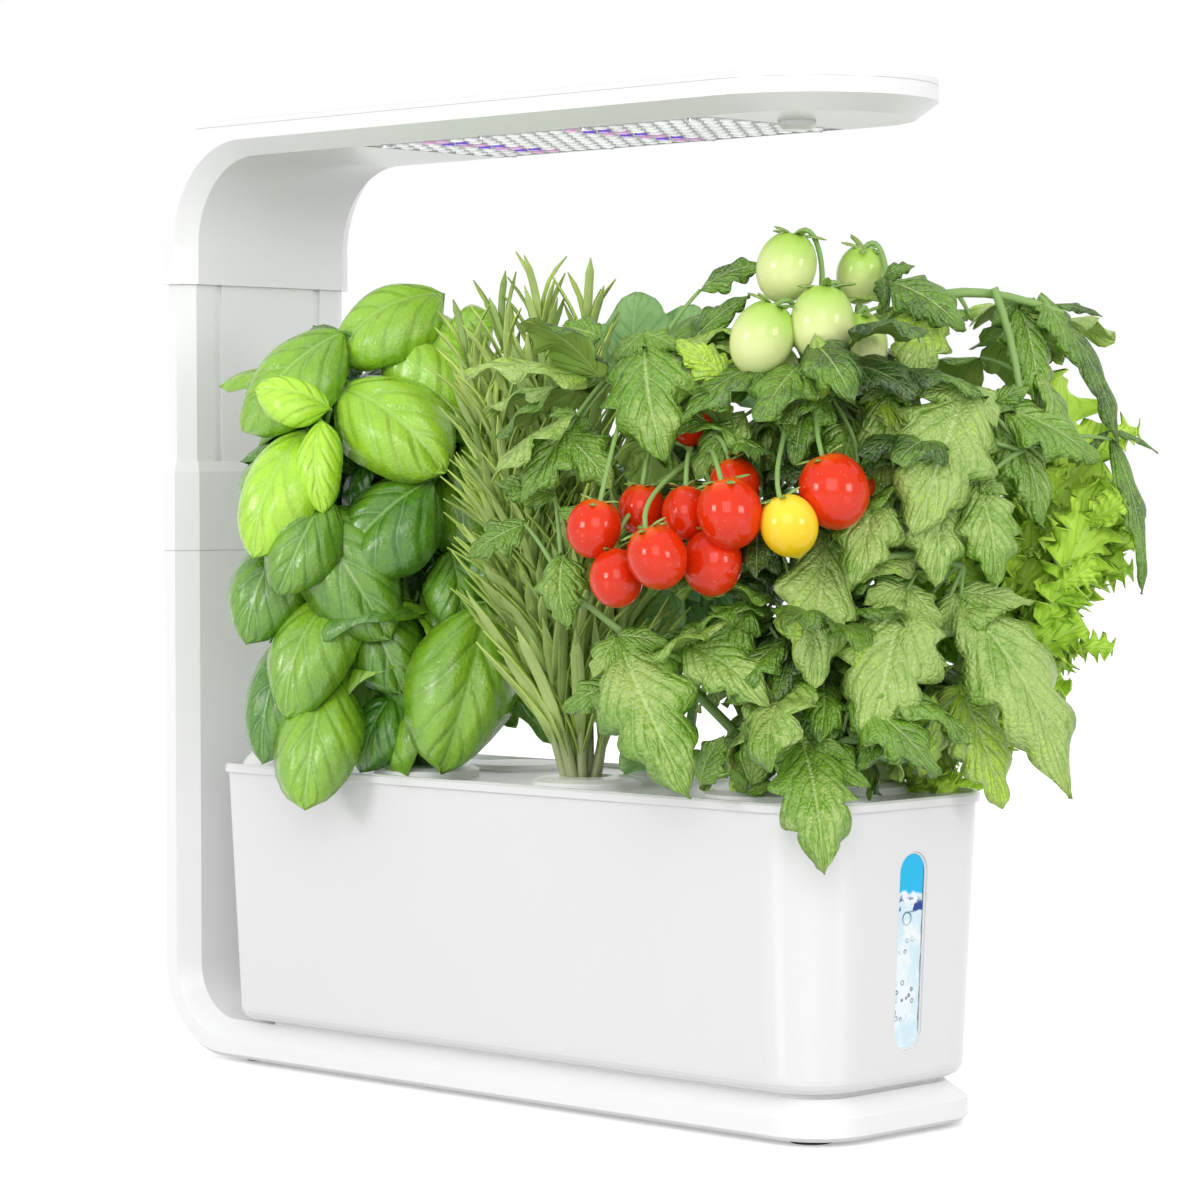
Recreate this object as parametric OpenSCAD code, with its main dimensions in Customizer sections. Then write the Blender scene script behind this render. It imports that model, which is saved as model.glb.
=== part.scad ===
// Countertop hydroponic garden: a C-shaped stand whose post telescopes, a lamp arm with
// an LED panel, and a water tank with a planting deck, pods, pump and grown plants.
// Millimetres, +Z up. The origin is the middle of the base, on the table. +X is the
// free end of the base, -X the post, -Y the front.

/* [Stand] */
// Length of the base
base_len = 330; // [310:1:350]
// Width of the base, the post and the lamp
body_w = 88; // [84:1:92]
// Thickness of the band that makes base, post and lamp
band_t = 13; // [12:0.5:14]
// Depth of the band's inner chamfer, through its thickness
cham_t = 5.5; // [4:0.5:6]
// Width of the band's inner chamfer, across the band
cham_w = 7.5; // [6:0.5:9]
// Small chamfer on the band's outer edges
band_edge = 1.4; // [0.8:0.1:2]
// Wall of the hollow band
wall = 1.9; // [1.6:0.1:2.2]
// Corner radius of the base's free end
base_r = 21; // [16:1:28]
// Outer radius of the bend from base to post
stand_bend_r = 33; // [28:1:38]
// Height of the base's underside above the table
foot_gap = 1.6; // [1:0.1:2.5]
// Thickness of the base's bottom plate
plate_t = 2.6; // [2.2:0.1:3]
// Height at which the lower post ends
post_h = 190; // [180:1:200]

/* [Telescope] */
// Height of the collar on top of the lower post
collar_h = 34; // [28:1:40]
// Height of the collar's sloping shoulder
shoulder_h = 4; // [3:0.5:5]
// Bare mast between the collar and the lamp, drawn out
mast_show = 66.5; // [60:0.5:72]
// Sliding clearance round the mast
slide_clear = 0.15; // [0.1:0.05:0.25]
// Wall of the mast tube
mast_wall = 2.4; // [2:0.1:2.8]
// Length of mast that stays in the post when drawn out
mast_engage = 74; // [60:1:80]
// Width of the two grooves in the mast's face
groove_w = 3.2; // [2.4:0.2:4]
// Depth of the two grooves
groove_d = 1.2; // [0.8:0.1:1.5]

/* [Lamp] */
// Bare height from the lamp's lower end to its underside
lamp_drop = 46.5; // [44:0.5:50]
// Outer radius of the bend from post to lamp arm
lamp_bend_r = 45; // [42:1:48]
// Reach of the lamp's nose beyond the middle of the base
nose_x = 164; // [156:1:172]
// Height of the lamp housing's side, underside to cover seam
seam_up = 10.6; // [9.5:0.1:11.5]
// Height of the crowned top above the lamp's underside
crown_up = 17.5; // [16:0.5:19]
// Height of the crown's edges above the lamp's underside
crown_edge_up = 12.4; // [12:0.1:14]
// Left end of the LED board
led_x0 = -62; // [-66:1:-58]
// Length of the LED board
led_len = 168; // [160:1:170]
// Distance from the body's side to the LED board's long edge
led_edge = 9.5; // [9:0.5:12]
// Thickness of the LED board
led_board_t = 1.6; // [1.2:0.1:2]
// Distance between LED rows
led_pitch_x = 7.1; // [6.5:0.1:7.2]
// Distance between LEDs in a row
led_pitch_y = 9.2; // [8.5:0.1:9.4]
// Radius of the push button under the nose
button_r = 6.5; // [5.5:0.5:7]
// Travel of the push button
button_travel = 1.2; // [1:0.1:1.4]

/* [Tank] */
// Left end of the tank's rim
tank_x0 = -129.5; // [-132:0.5:-127]
// Length of the tank's rim
tank_len = 298.5; // [292:0.5:302]
// Width of the tank's rim
tank_w = 100; // [96:1:104]
// Height of the tank from underside to rim
tank_h = 95.6; // [90:0.2:100]
// Corner radius of the tank's free end
tank_r = 28; // [24:1:32]
// Corner radius of the tank's post end
tank_r_post = 12; // [11:1:14]
// Wall of the tank
tank_wall = 2.4; // [2:0.1:2.8]
// Inward draft of each wall from rim to floor
draft = 4.6; // [3.5:0.1:5.5]
// Fillet between the tank's wall and floor
floor_r = 5; // [4:0.5:6]
// Height of the bead round the rim
bead_h = 3.4; // [3:0.1:4]
// Stand-out of the bead from the wall
bead_out = 1.3; // [1:0.1:1.6]
// Height of the ring under the tank that it stands on
tank_foot = 1.8; // [1.4:0.1:2.2]
// Length of the water window
window_len = 66; // [60:1:70]
// Width of the water window
window_w = 14; // [12:0.5:16]

/* [Deck] */
// Thickness of the planting deck
deck_t = 2.4; // [2:0.1:3]
// Place of the first pair of pods along X
pod_x0 = -42; // [-46:1:-38]
// Distance between pairs of pods
pod_pitch = 81; // [78:1:82]
// Distance between the two rows of pods
pod_row = 46; // [44:1:48]
// Radius of the holes for the pods
pod_r = 15.6; // [15:0.2:16.4]
// Radius of a pod's flange
pod_flange_r = 19; // [18.5:0.5:20]
// Depth of a pod's basket below the deck
pod_depth = 44; // [38:1:50]
// Radius of the fill cap
cap_r = 13; // [11:0.5:13]
// Height of the fill cap's dome
cap_h = 8; // [6:0.5:9]

/* [Hidden] */
led_w = body_w - 2 * led_edge;

round_fn = 96;
wide_fn = 720;
eps = 0.01;
cut = 1;
white = "WhiteSmoke";
pale_grey = "Gainsboro";

// Derived places of the stand
post_x = -base_len / 2;
half_w = body_w / 2;
base_top = foot_gap + band_t;
stand_bend_x = post_x + stand_bend_r;
stand_bend_z = foot_gap + stand_bend_r;
base_end_x = base_len / 2 - base_r;
plate_top = foot_gap + plate_t;
cham_len = norm([cham_t, cham_w]);

// Derived places of the telescope
collar_top = post_h + collar_h;
mast_in = wall + slide_clear;
lamp_low = collar_top + mast_show;
mast_low = collar_top - mast_engage;
travel = mast_show - 0.5;
lap_h = 3;
lap_in = wall / 2;
joint_clear = 0.05;

// Derived places of the lamp
lamp_under = lamp_low + lamp_drop;
seam_z = lamp_under + seam_up;
crown_z = lamp_under + crown_up;
crown_edge_z = lamp_under + crown_edge_up;
lamp_top = lamp_under + band_t;
lamp_bend_x = post_x + lamp_bend_r;
lamp_bend_z = lamp_top - lamp_bend_r;
mast_top = lamp_bend_z - 0.5;
nose_c = nose_x - half_w;
heat_t = 1.2;
led_z = lamp_under + wall - led_board_t;
led_x1 = led_x0 + led_len;
led_mid = led_x0 + led_len / 2;
led_t = 0.7;
panel_gap = 0.4;
button_x = led_x1 + 9.5;

// Derived places of the tank
tank_z = base_top + tank_foot;
rim_z = tank_z + tank_h;
tank_x1 = tank_x0 + tank_len;
tank_hw = tank_w / 2;
bead_z = rim_z - bead_h;
ledge_z = rim_z - deck_t - 1.8;
rim_wall = 2.5;
deck_gap = 0.25;
deck_z = ledge_z + deck_t;
floor_in = -bead_out - draft;
tilt = atan(draft / (bead_z - tank_z));
window_z = tank_z + 45;
pod_flange_t = 1.6;
pod_top = deck_z + pod_flange_t;
basket_r = pod_r - 0.3;
basket_low_r = 11;
basket_wall = 1.2;

function station(i) = pod_x0 + i * pod_pitch;
front_y = -pod_row / 2;
back_y = pod_row / 2;
pods = [[0, front_y], [1, front_y], [2, front_y], [1, back_y], [2, back_y]];

// ---- The band: one chamfered section, inset by d, that base, post and lamp share ----

function side_v(d) = band_t - cham_t - d * (cham_len - cham_t) / cham_w;
function face_u(d) = half_w - cham_w - d * (cham_len - cham_w) / cham_t;
function edge_e(d) = max(band_edge - d * 0.586, 0.1);

// Half of the section: u runs across the band, v from its outer to its inner face.
function half_band(d) = [[half_w - d - edge_e(d), d], [half_w - d, d + edge_e(d)],
    [half_w - d, side_v(d)], [face_u(d), band_t - d]];
function band(d) = concat(half_band(d), [for (i = [3:-1:0]) [-half_band(d)[i][0], half_band(d)[i][1]]]);

// Upright stretch of band with its outer face at the post's outer plane.
module upright(d, z0, z1) {
    translate([post_x, 0, z0])
        linear_extrude(z1 - z0)
            polygon([for (p = band(d)) [p[1], p[0]]]);
}

// Level stretch of band. side is 1 where the outer face is below, -1 where it is above.
module level(d, x0, x1, z, side) {
    translate([x0, 0, z])
        rotate([90, 0, 90])
            linear_extrude(x1 - x0)
                polygon([for (p = band(d)) [p[0], side * p[1]]]);
}

// Quarter bend of band about an axis along Y.
module bend(d, r, x, z, start) {
    translate([x, 0, z])
        rotate([90, 0, 0])
            rotate([0, 0, start])
                rotate_extrude(angle = 90, $fn = round_fn)
                    polygon([for (p = band(d)) [r - p[1], p[0]]]);
}

// Radial section of a rounded free end whose corner radius is r.
function end_section(d, r, side) = concat([[0, side * d]],
    [for (p = half_band(d)) [p[0] - half_w + r, side * p[1]]], [[0, side * (band_t - d)]]);

// Free end of the band with two rounded corners.
module free_end(d, x, r, z, side) {
    y = half_w - r;
    for (s = [-1, 1])
        translate([x, s * y, z])
            rotate([0, 0, s > 0 ? 0 : -90])
                rotate_extrude(angle = 90, $fn = round_fn)
                    polygon(end_section(d, r, side));
    if (y > 0)
        translate([x, y, z])
            rotate([90, 0, 0])
                linear_extrude(2 * y)
                    polygon(end_section(d, r, side));
}

module stand_solid(d, top) {
    upright(d, stand_bend_z, top);
    bend(d, stand_bend_r, stand_bend_x, stand_bend_z, 180);
    level(d, stand_bend_x, base_end_x, foot_gap, 1);
    free_end(d, base_end_x, base_r, foot_gap, 1);
}

module slab(x0, x1, y, z0, z1) {
    translate([x0, -y, z0])
        cube([x1 - x0, 2 * y, z1 - z0]);
}

module pin_z(x, y, z0, z1, r) {
    translate([x, y, z0])
        cylinder(h = z1 - z0, r = r, $fn = round_fn);
}

// ---- Stand ----

screw_in = 20;
screw_step = (base_len - stand_bend_r - base_r) / 2 - screw_in;
screw_xs = [for (i = [0:2]) stand_bend_x + screw_in + i * screw_step];
screw_y = half_w - 13;
boss_r = 3;
shank_r = 1.2;
pilot_clear = joint_clear;
head_r = 2.6;
head_t = 1.2;
foot_r = 7;
foot_in = 1.2;
foot_xs = [stand_bend_x + 9, base_end_x + 4];
foot_y = half_w - 14;
base_ceiling = base_top - wall;

module each_screw() {
    for (x = screw_xs)
        for (y = [-screw_y, screw_y])
            translate([x, y, 0])
                children();
}

module each_foot() {
    for (x = foot_xs)
        for (y = [-foot_y, foot_y])
            translate([x, y, 0])
                children();
}

inlet_z = 52;
inlet_r = 3.9;
inlet_bore = 2.8;
inlet_size = 10;
inlet_deep = band_t - 2 * wall - 0.6;
stop_z = post_h - 14;
stop_r = 1.5;
stop_gap = 0.1;
stop_reach = 2.2;

module stand_shell() {
    color(white) {
        difference() {
            union() {
                stand_solid(0, post_h);
                upright(lap_in + joint_clear, post_h, post_h + lap_h);
            }
            stand_solid(wall, post_h + lap_h + cut);
            slab(stand_bend_x, base_len, body_w, 0, plate_top);
            translate([post_x - cut, 0, inlet_z])
                rotate([0, 90, 0])
                    cylinder(h = wall + 2 * cut, r = inlet_r + joint_clear, $fn = round_fn);
            translate([post_x - cut, 0, stop_z])
                rotate([0, 90, 0])
                    cylinder(h = wall + 2 * cut, r = stop_r + joint_clear, $fn = round_fn);
        }
        each_screw()
            difference() {
                pin_z(0, 0, plate_top, base_ceiling, boss_r);
                pin_z(0, 0, plate_top - cut, base_ceiling - 1.5, shank_r + pilot_clear);
            }
        each_board_post()
            difference() {
                pin_z(0, 0, board_z + board_t, base_ceiling, boss_r);
                pin_z(0, 0, board_z, base_ceiling - 0.6, shank_r + pilot_clear);
            }
    }
}

module base_bottom_plate() {
    color(pale_grey)
        difference() {
            intersection() {
                stand_solid(0, stand_bend_z + cut);
                slab(stand_bend_x, base_len, body_w, 0, plate_top);
            }
            each_foot()
                pin_z(0, 0, 0, foot_gap + foot_in, foot_r);
            each_screw() {
                pin_z(0, 0, 0, plate_top + cut, shank_r + joint_clear);
                pin_z(0, 0, 0, foot_gap + head_t, head_r + joint_clear);
            }
        }
}

module rubber_feet() {
    color("DimGray")
        each_foot()
            pin_z(0, 0, 0, foot_gap + foot_in, foot_r - joint_clear);
}

module bottom_screws() {
    color("Silver")
        each_screw()
            difference() {
                union() {
                    pin_z(0, 0, foot_gap + 0.1, foot_gap + head_t, head_r);
                    pin_z(0, 0, foot_gap + head_t, base_ceiling - 2, shank_r);
                }
                cross_slot(foot_gap);
            }
}

// A cross recess for a screwdriver, cut upwards from height z.
module cross_slot(z) {
    for (a = [0, 90])
        rotate([0, 0, a])
            translate([-head_r * 0.6, -0.3, z])
                cube([head_r * 1.2, 0.6, 0.7]);
}

pad_z0 = post_h + 9;
pad_z1 = collar_top - shoulder_h - 5;
pad_x0 = post_x + wall + 1.2;
pad_x1 = pad_x0 + 2.8;
pad_in = 1;

// Pockets for the brake pads in the collar's two side walls.
module pad_blocks(gap, reach) {
    for (s = [-1, 1])
        translate([pad_x0 - gap, s > 0 ? half_w - wall - reach : -half_w + wall - pad_in - gap, pad_z0 - gap])
            cube([pad_x1 - pad_x0 + 2 * gap, pad_in + reach + gap, pad_z1 - pad_z0 + 2 * gap]);
}

module column_collar() {
    color(white)
        difference() {
            union() {
                upright(0, post_h, collar_top - shoulder_h);
                hull() {
                    upright(0, collar_top - shoulder_h, collar_top - shoulder_h + eps);
                    upright(wall - 0.4, collar_top - eps, collar_top);
                }
            }
            upright(wall, post_h - cut, collar_top + cut);
            upright(lap_in, post_h - cut, post_h + lap_h + joint_clear);
            pad_blocks(joint_clear, joint_clear);
        }
}

module brake_pads() {
    color("DimGray")
        pad_blocks(0, slide_clear - 0.05);
}

module mast_stop_screw() {
    color("Silver")
        difference() {
            translate([post_x + 0.2, 0, stop_z])
                rotate([0, 90, 0])
                    cylinder(h = wall + stop_reach, r = stop_r, $fn = round_fn);
            translate([post_x + 0.2, 0, stop_z])
                rotate([0, 90, 0])
                    cylinder(h = 1.6, r = 0.8, $fn = 6);
        }
}

module dc_inlet() {
    color("DimGray")
        difference() {
            union() {
                translate([post_x + 0.3, 0, inlet_z])
                    rotate([0, 90, 0])
                        cylinder(h = wall, r = inlet_r, $fn = round_fn);
                translate([post_x + wall, -inlet_size / 2, inlet_z - inlet_size / 2])
                    cube([inlet_deep, inlet_size, inlet_size]);
            }
            translate([post_x, 0, inlet_z])
                rotate([0, 90, 0])
                    cylinder(h = wall + inlet_deep - 1.5, r = inlet_bore, $fn = round_fn);
        }
    color("Silver")
        translate([post_x + 1, 0, inlet_z])
            rotate([0, 90, 0])
                cylinder(h = wall + inlet_deep - 1, r = 1, $fn = round_fn);
}

board_t = 1.6;
board_z = plate_top + 2.6;
board_x0 = -70;
board_len = 90;
board_w = 46;
board_inset = 5;

module each_board_post() {
    for (x = [board_x0 + board_inset, board_x0 + board_len - board_inset])
        for (y = [-board_w / 2 + board_inset, board_w / 2 - board_inset])
            translate([x, y, 0])
                children();
}

module control_board() {
    color("SeaGreen")
        difference() {
            slab(board_x0, board_x0 + board_len, board_w / 2, board_z, board_z + board_t);
            each_board_post()
                pin_z(0, 0, board_z - cut, board_z + board_t + cut, shank_r + joint_clear);
        }
    color("DimGray") {
        slab(board_x0 + 12, board_x0 + 26, 7, board_z + board_t, board_z + board_t + 2.4);
        slab(board_x0 + 40, board_x0 + 50, 5, board_z + board_t, board_z + board_t + 1.6);
    }
    color("Silver")
        for (y = [-12, 12])
            pin_z(board_x0 + 66, y, board_z + board_t, board_z + board_t + 3, 3.4);
}

module control_board_screws() {
    color("Silver")
        each_board_post()
            difference() {
                union() {
                    pin_z(0, 0, board_z - head_t, board_z, head_r);
                    pin_z(0, 0, board_z - eps, base_ceiling - 1, shank_r);
                }
                cross_slot(board_z - head_t - eps);
            }
}

// ---- Mast and lamp ----

groove_y = face_u(mast_in) - 11;
slot_half = stop_r + stop_gap;
mast_screw_z = lamp_low + 7;
mast_screw_y = 20;
mast_screw_r = 1.3;
mast_screw_in = wall + slide_clear + mast_wall + 0.4;

module each_mast_screw() {
    for (y = [-mast_screw_y, mast_screw_y])
        translate([post_x, y, mast_screw_z])
            rotate([0, 90, 0])
                children();
}

module mast_tube() {
    color(white)
        difference() {
            upright(mast_in, mast_low, mast_top);
            upright(mast_in + mast_wall, mast_low - cut, mast_top + cut);
            for (s = [-1, 1])
                translate([post_x + band_t - mast_in - groove_d, s * groove_y - groove_w / 2, mast_low - cut])
                    cube([groove_d + cut, groove_w, mast_top - mast_low + 2 * cut]);
            stop_slot();
            each_mast_screw()
                cylinder(h = mast_screw_in + cut, r = mast_screw_r + joint_clear, $fn = round_fn);
        }
}

// Slot in the mast's outer wall that runs on the stop screw.
module stop_slot() {
    translate([post_x + mast_in - cut, 0, 0])
        rotate([0, 90, 0])
            linear_extrude(mast_wall + 2 * cut) {
                for (z = [stop_z, stop_z + travel])
                    translate([-z, 0])
                        circle(r = slot_half, $fn = round_fn);
                translate([-stop_z - travel, -slot_half])
                    square([travel, 2 * slot_half]);
            }
}

module mast_screws() {
    color("Silver")
        each_mast_screw()
            difference() {
                union() {
                    translate([0, 0, 0.3])
                        cylinder(h = 0.9, r = 2.6, $fn = round_fn);
                    translate([0, 0, 1.2 - eps])
                        cylinder(h = mast_screw_in - 1.2, r = mast_screw_r, $fn = round_fn);
                }
                cylinder(h = 1, r = 1, $fn = 6);
            }
}

// Outer form of the lamp below its crown, inset by d.
module lamp_solid(d) {
    upright(d, d > 0 ? lamp_low - cut : lamp_low, lamp_bend_z);
    bend(d, lamp_bend_r, lamp_bend_x, lamp_bend_z, 90);
    level(d, lamp_bend_x, nose_c, lamp_top, -1);
    free_end(d, nose_c, half_w, lamp_top, -1);
}

crown_r = (pow(half_w, 2) + pow(crown_z - crown_edge_z, 2)) / 2 / (crown_z - crown_edge_z);
shoulder_r = crown_z - lamp_bend_z - 5;
shoulder_x = post_x + shoulder_r;
fall_x = 40;
fall_z = 5;
fall_r = (pow(nose_x - fall_x, 2) + pow(fall_z, 2)) / 2 / fall_z;

module rod_y(x, z, r, fn) {
    translate([x, body_w, z])
        rotate([90, 0, 0])
            cylinder(h = 2 * body_w, r = r, $fn = fn);
}

// The crowned top, inset by d: a shoulder over the bend, a crown across, a fall to the nose.
module crown_solid(d) {
    intersection() {
        union() {
            slab(post_x, nose_c, half_w - d, lamp_bend_z, crown_z + cut);
            pin_z(nose_c, 0, lamp_bend_z, crown_z + cut, half_w - d);
        }
        union() {
            rod_y(shoulder_x, crown_z - shoulder_r, shoulder_r - d, 360);
            slab(shoulder_x, nose_x, body_w, lamp_bend_z, crown_z - d);
        }
        translate([post_x - cut, 0, crown_z - crown_r])
            rotate([0, 90, 0])
                cylinder(h = base_len, r = crown_r - d, $fn = wide_fn);
        union() {
            slab(post_x - cut, fall_x, body_w, lamp_bend_z, crown_z + cut);
            rod_y(fall_x, crown_z - fall_r, fall_r - d, 1440);
        }
    }
}

led_screw_xs = [for (i = [0:3]) led_x0 + 9 + i * (led_len - 18) / 3];
led_screw_y = led_w / 2 - 3;

module each_led_screw() {
    for (x = led_screw_xs)
        for (y = [-led_screw_y, led_screw_y])
            translate([x, y, 0])
                children();
}

// The crown's shoulder over the bend, inset by d, up to height z.
module crown_shoulder(d, z) {
    difference() {
        intersection() {
            crown_solid(d);
            slab(post_x, lamp_bend_x + d, half_w, lamp_bend_z + d, z);
        }
        rod_y(lamp_bend_x, lamp_bend_z, lamp_bend_r - wall - 1, round_fn);
    }
}

module lamp_housing() {
    color(white)
        difference() {
            union() {
                lamp_solid(0);
                crown_shoulder(0, seam_z);
            }
            lamp_solid(wall);
            crown_shoulder(wall, seam_z + cut);
            slab(post_x - cut, nose_x + cut, body_w, seam_z, crown_z + cut);
            slab(led_x0 - panel_gap, led_x1 + panel_gap, led_w / 2 + panel_gap,
                lamp_under - cut, lamp_under + wall + cut);
            pin_z(button_x, 0, lamp_under - cut, lamp_under + wall + cut, button_r + 0.15);
            each_mast_screw() {
                translate([0, 0, -cut])
                    cylinder(h = wall + 2 * cut, r = mast_screw_r + joint_clear, $fn = round_fn);
                translate([0, 0, -cut])
                    cylinder(h = cut + 1.2, r = 2.65, $fn = round_fn);
            }
        }
}

tongue_in = wall + 0.1;
tongue_t = 1.2;
tongue_h = 2;

module lamp_top_cover() {
    color(white) {
        difference() {
            intersection() {
                crown_solid(0);
                slab(post_x, nose_x, body_w, seam_z, crown_z + cut);
            }
            intersection() {
                crown_solid(wall);
                slab(post_x, nose_x, body_w, seam_z - cut, crown_z + cut);
            }
        }
        cover_tongue();
    }
}

// A tongue under the cover that drops inside the housing's two long walls.
module cover_tongue() {
    for (s = [-1, 1])
        translate([lamp_bend_x + 10, s > 0 ? half_w - tongue_in - tongue_t : tongue_in - half_w,
            seam_z - tongue_h])
            cube([nose_c - lamp_bend_x - 20, tongue_t, tongue_h + 2]);
}

module heat_spreader() {
    color("Silver")
        difference() {
            slab(led_x0 - 3, led_x1 + 1, led_w / 2 + 1.2, lamp_under + wall, lamp_under + wall + heat_t);
            each_led_screw()
                pin_z(0, 0, lamp_under, lamp_under + wall + heat_t + cut, 1 + joint_clear);
        }
}

module led_board() {
    color("White")
        difference() {
            slab(led_x0, led_x1, led_w / 2, led_z, led_z + led_board_t);
            each_led_screw()
                pin_z(0, 0, led_z - cut, led_z + led_board_t + cut, 1 + joint_clear);
        }
}

led_rows = floor((led_len - 10) / led_pitch_x / 2);
led_cols = 3;
colour_xs = [-31, 40];
colour_half = 9;

function led_row_x(i) = led_mid + i * led_pitch_x;
function is_colour(i) = min([for (x = colour_xs) abs(led_row_x(i) - x)]) < colour_half;

// One LED package hanging under the board.
module led(x, y, w, l) {
    translate([x - w / 2, y - l / 2, led_z - led_t])
        cube([w, l, led_t]);
}

module white_leds() {
    color("LightYellow")
        for (i = [-led_rows:led_rows])
            if (!is_colour(i))
                for (j = [-led_cols:led_cols])
                    led(led_row_x(i), j * led_pitch_y, 2.8, 3.5);
}

module red_leds() {
    color("Red")
        for (i = [-led_rows:led_rows])
            if (is_colour(i))
                for (j = [-led_cols:2:led_cols])
                    led(led_row_x(i), j * led_pitch_y, 2.8, 3.5);
}

module blue_leds() {
    color("RoyalBlue")
        for (i = [-led_rows:led_rows])
            if (is_colour(i))
                for (j = [1 - led_cols:2:led_cols - 1])
                    led(led_row_x(i), j * led_pitch_y, 2.8, 3.5);
}

module led_board_screws() {
    color("DimGray")
        each_led_screw() {
            pin_z(0, 0, led_z - 1.1, led_z, 2);
            pin_z(0, 0, led_z - eps, lamp_under + wall + heat_t + 1, 1);
        }
}

driver_z = lamp_under + wall + heat_t;

module lamp_driver_board() {
    color("SeaGreen")
        slab(led_mid - 30, led_mid + 30, 14, driver_z + 1.2, driver_z + 2.6);
    color("DimGray") {
        slab(led_mid - 22, led_mid - 10, 6, driver_z + 2.6, driver_z + 5.4);
        for (y = [-7, 7])
            pin_z(led_mid + 14, y, driver_z + 2.6, driver_z + 6, 3.2);
    }
    color("Silver")
        for (x = [led_mid - 26, led_mid + 26])
            for (y = [-10, 10])
                pin_z(x, y, driver_z, driver_z + 1.2, 1.6);
}

button_out = 3;
button_skirt = 1.2;
button_rest = lamp_under + wall + 0.1;

module light_button() {
    color(pale_grey) {
        rotate_profile(button_x, [[0, lamp_under - button_out], [button_r - 1.6, lamp_under - button_out],
            [button_r, lamp_under - button_out + 1.6], [button_r, button_rest], [button_r + 1.2, button_rest],
            [button_r + 1.2, button_rest + button_skirt], [0, button_rest + button_skirt]]);
    }
}

module rotate_profile(x, points) {
    translate([x, 0, 0])
        rotate_extrude($fn = round_fn)
            polygon(points);
}

switch_z = button_rest + button_skirt + button_travel + 0.3;

module button_switch() {
    color("DimGray")
        slab(button_x - 3, button_x + 3, 3, switch_z, switch_z + 3);
    color("SeaGreen")
        slab(button_x - 8, button_x + 8, 12, switch_z + 3, switch_z + 4.2);
    color("DimGray")
        for (y = [-10, 10])
            pin_z(button_x, y, lamp_under + wall, switch_z + 3, 1.5);
}

// ---- Tank ----

// A rounded tub: points are [stand-out from the rim line, height], from bottom to top.
module tub(points) {
    xl = tank_x0 + tank_r_post;
    xr = tank_x1 - tank_r;
    yl = tank_hw - tank_r_post;
    yr = tank_hw - tank_r;
    low = points[0][1];
    high = points[len(points) - 1][1];
    translate([xl, 0, 0])
        rotate([90, 0, 90])
            linear_extrude(xr - xl)
                polygon(concat([for (p = points) [tank_hw + p[0], p[1]]],
                    [for (i = [len(points) - 1:-1:0]) [-tank_hw - points[i][0], points[i][1]]]));
    translate([xl, yl, 0])
        rotate([90, 0, 0])
            linear_extrude(2 * yl)
                polygon(concat([[0, low]], [for (p = points) [-tank_r_post - p[0], p[1]]], [[0, high]]));
    translate([xr, yr, 0])
        rotate([90, 0, 0])
            linear_extrude(2 * yr)
                polygon(concat([[0, low]], [for (p = points) [tank_r + p[0], p[1]]], [[0, high]]));
    for (s = [-1, 1]) {
        translate([xl, s * yl, 0])
            rotate([0, 0, s > 0 ? 90 : 180])
                rotate_extrude(angle = 90, $fn = round_fn)
                    polygon(concat([[0, low]], [for (p = points) [tank_r_post + p[0], p[1]]], [[0, high]]));
        translate([xr, s * yr, 0])
            rotate([0, 0, s > 0 ? 0 : -90])
                rotate_extrude(angle = 90, $fn = round_fn)
                    polygon(concat([[0, low]], [for (p = points) [tank_r + p[0], p[1]]], [[0, high]]));
    }
}

function wall_out(z) = -bead_out - draft * (bead_z - z) / (bead_z - tank_z);
fillet = [for (a = [0:18:90])
    [wall_out(tank_z + floor_r) - floor_r * (1 - sin(a)), tank_z + floor_r * (1 - cos(a))]];
tank_outer = concat(fillet,
    [[-bead_out, bead_z], [-0.4, bead_z], [0, bead_z + 0.4], [0, rim_z - 0.8], [-0.8, rim_z]]);
inner_low = tank_z + tank_wall;
tank_inner = [[wall_out(inner_low + 3) - tank_wall - 3, inner_low],
    [wall_out(inner_low + 3) - tank_wall, inner_low + 3],
    [wall_out(ledge_z) - tank_wall, ledge_z + eps]];
rim_recess = [[-rim_wall, ledge_z], [-rim_wall, rim_z + cut]];
foot_ring = [[floor_in - floor_r - 3, base_top], [floor_in - floor_r - 3, tank_z + eps]];
foot_hollow = [[floor_in - floor_r - 8, base_top - cut], [floor_in - floor_r - 8, tank_z]];

// Frame of the window: X out of the sloping wall, origin on the wall's outer face.
module on_window() {
    translate([tank_x1 + wall_out(window_z), 0, window_z])
        rotate([0, tilt, 0])
            children();
}

// A stadium bar along the window frame's X, from depth x0 to x1 and grown by g.
module window_bar(x0, x1, g) {
    r = window_w / 2 + g;
    z = (window_len - window_w) / 2;
    translate([x0, 0, 0])
        rotate([90, 0, 90])
            linear_extrude(x1 - x0) {
                for (s = [-1, 1])
                    translate([0, s * z])
                        circle(r = r, $fn = round_fn);
                translate([-r, -z])
                    square([2 * r, 2 * z]);
            }
}

lens_in = 0.9;
lens_t = 1.2;
window_frame = 1.4;
seal_t = 0.7;
window_boss = 3.2;

module water_tank() {
    color(white)
        difference() {
            union() {
                difference() {
                    tub(tank_outer);
                    tub(tank_inner);
                    tub(rim_recess);
                }
                on_window()
                    window_bar(-window_boss, -tank_wall / 2, window_frame + 2);
                difference() {
                    tub(foot_ring);
                    tub(foot_hollow);
                }
            }
            on_window() {
                window_bar(-lens_in - lens_t, cut, 0);
                window_bar(-window_boss - cut, cut, -window_frame);
            }
        }
}

module window_seal() {
    color("DimGray")
        on_window()
            difference() {
                window_bar(-lens_in - lens_t, -lens_in + 0.3, -joint_clear);
                window_bar(-lens_in - lens_t - cut, cut, -seal_t);
            }
}

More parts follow.
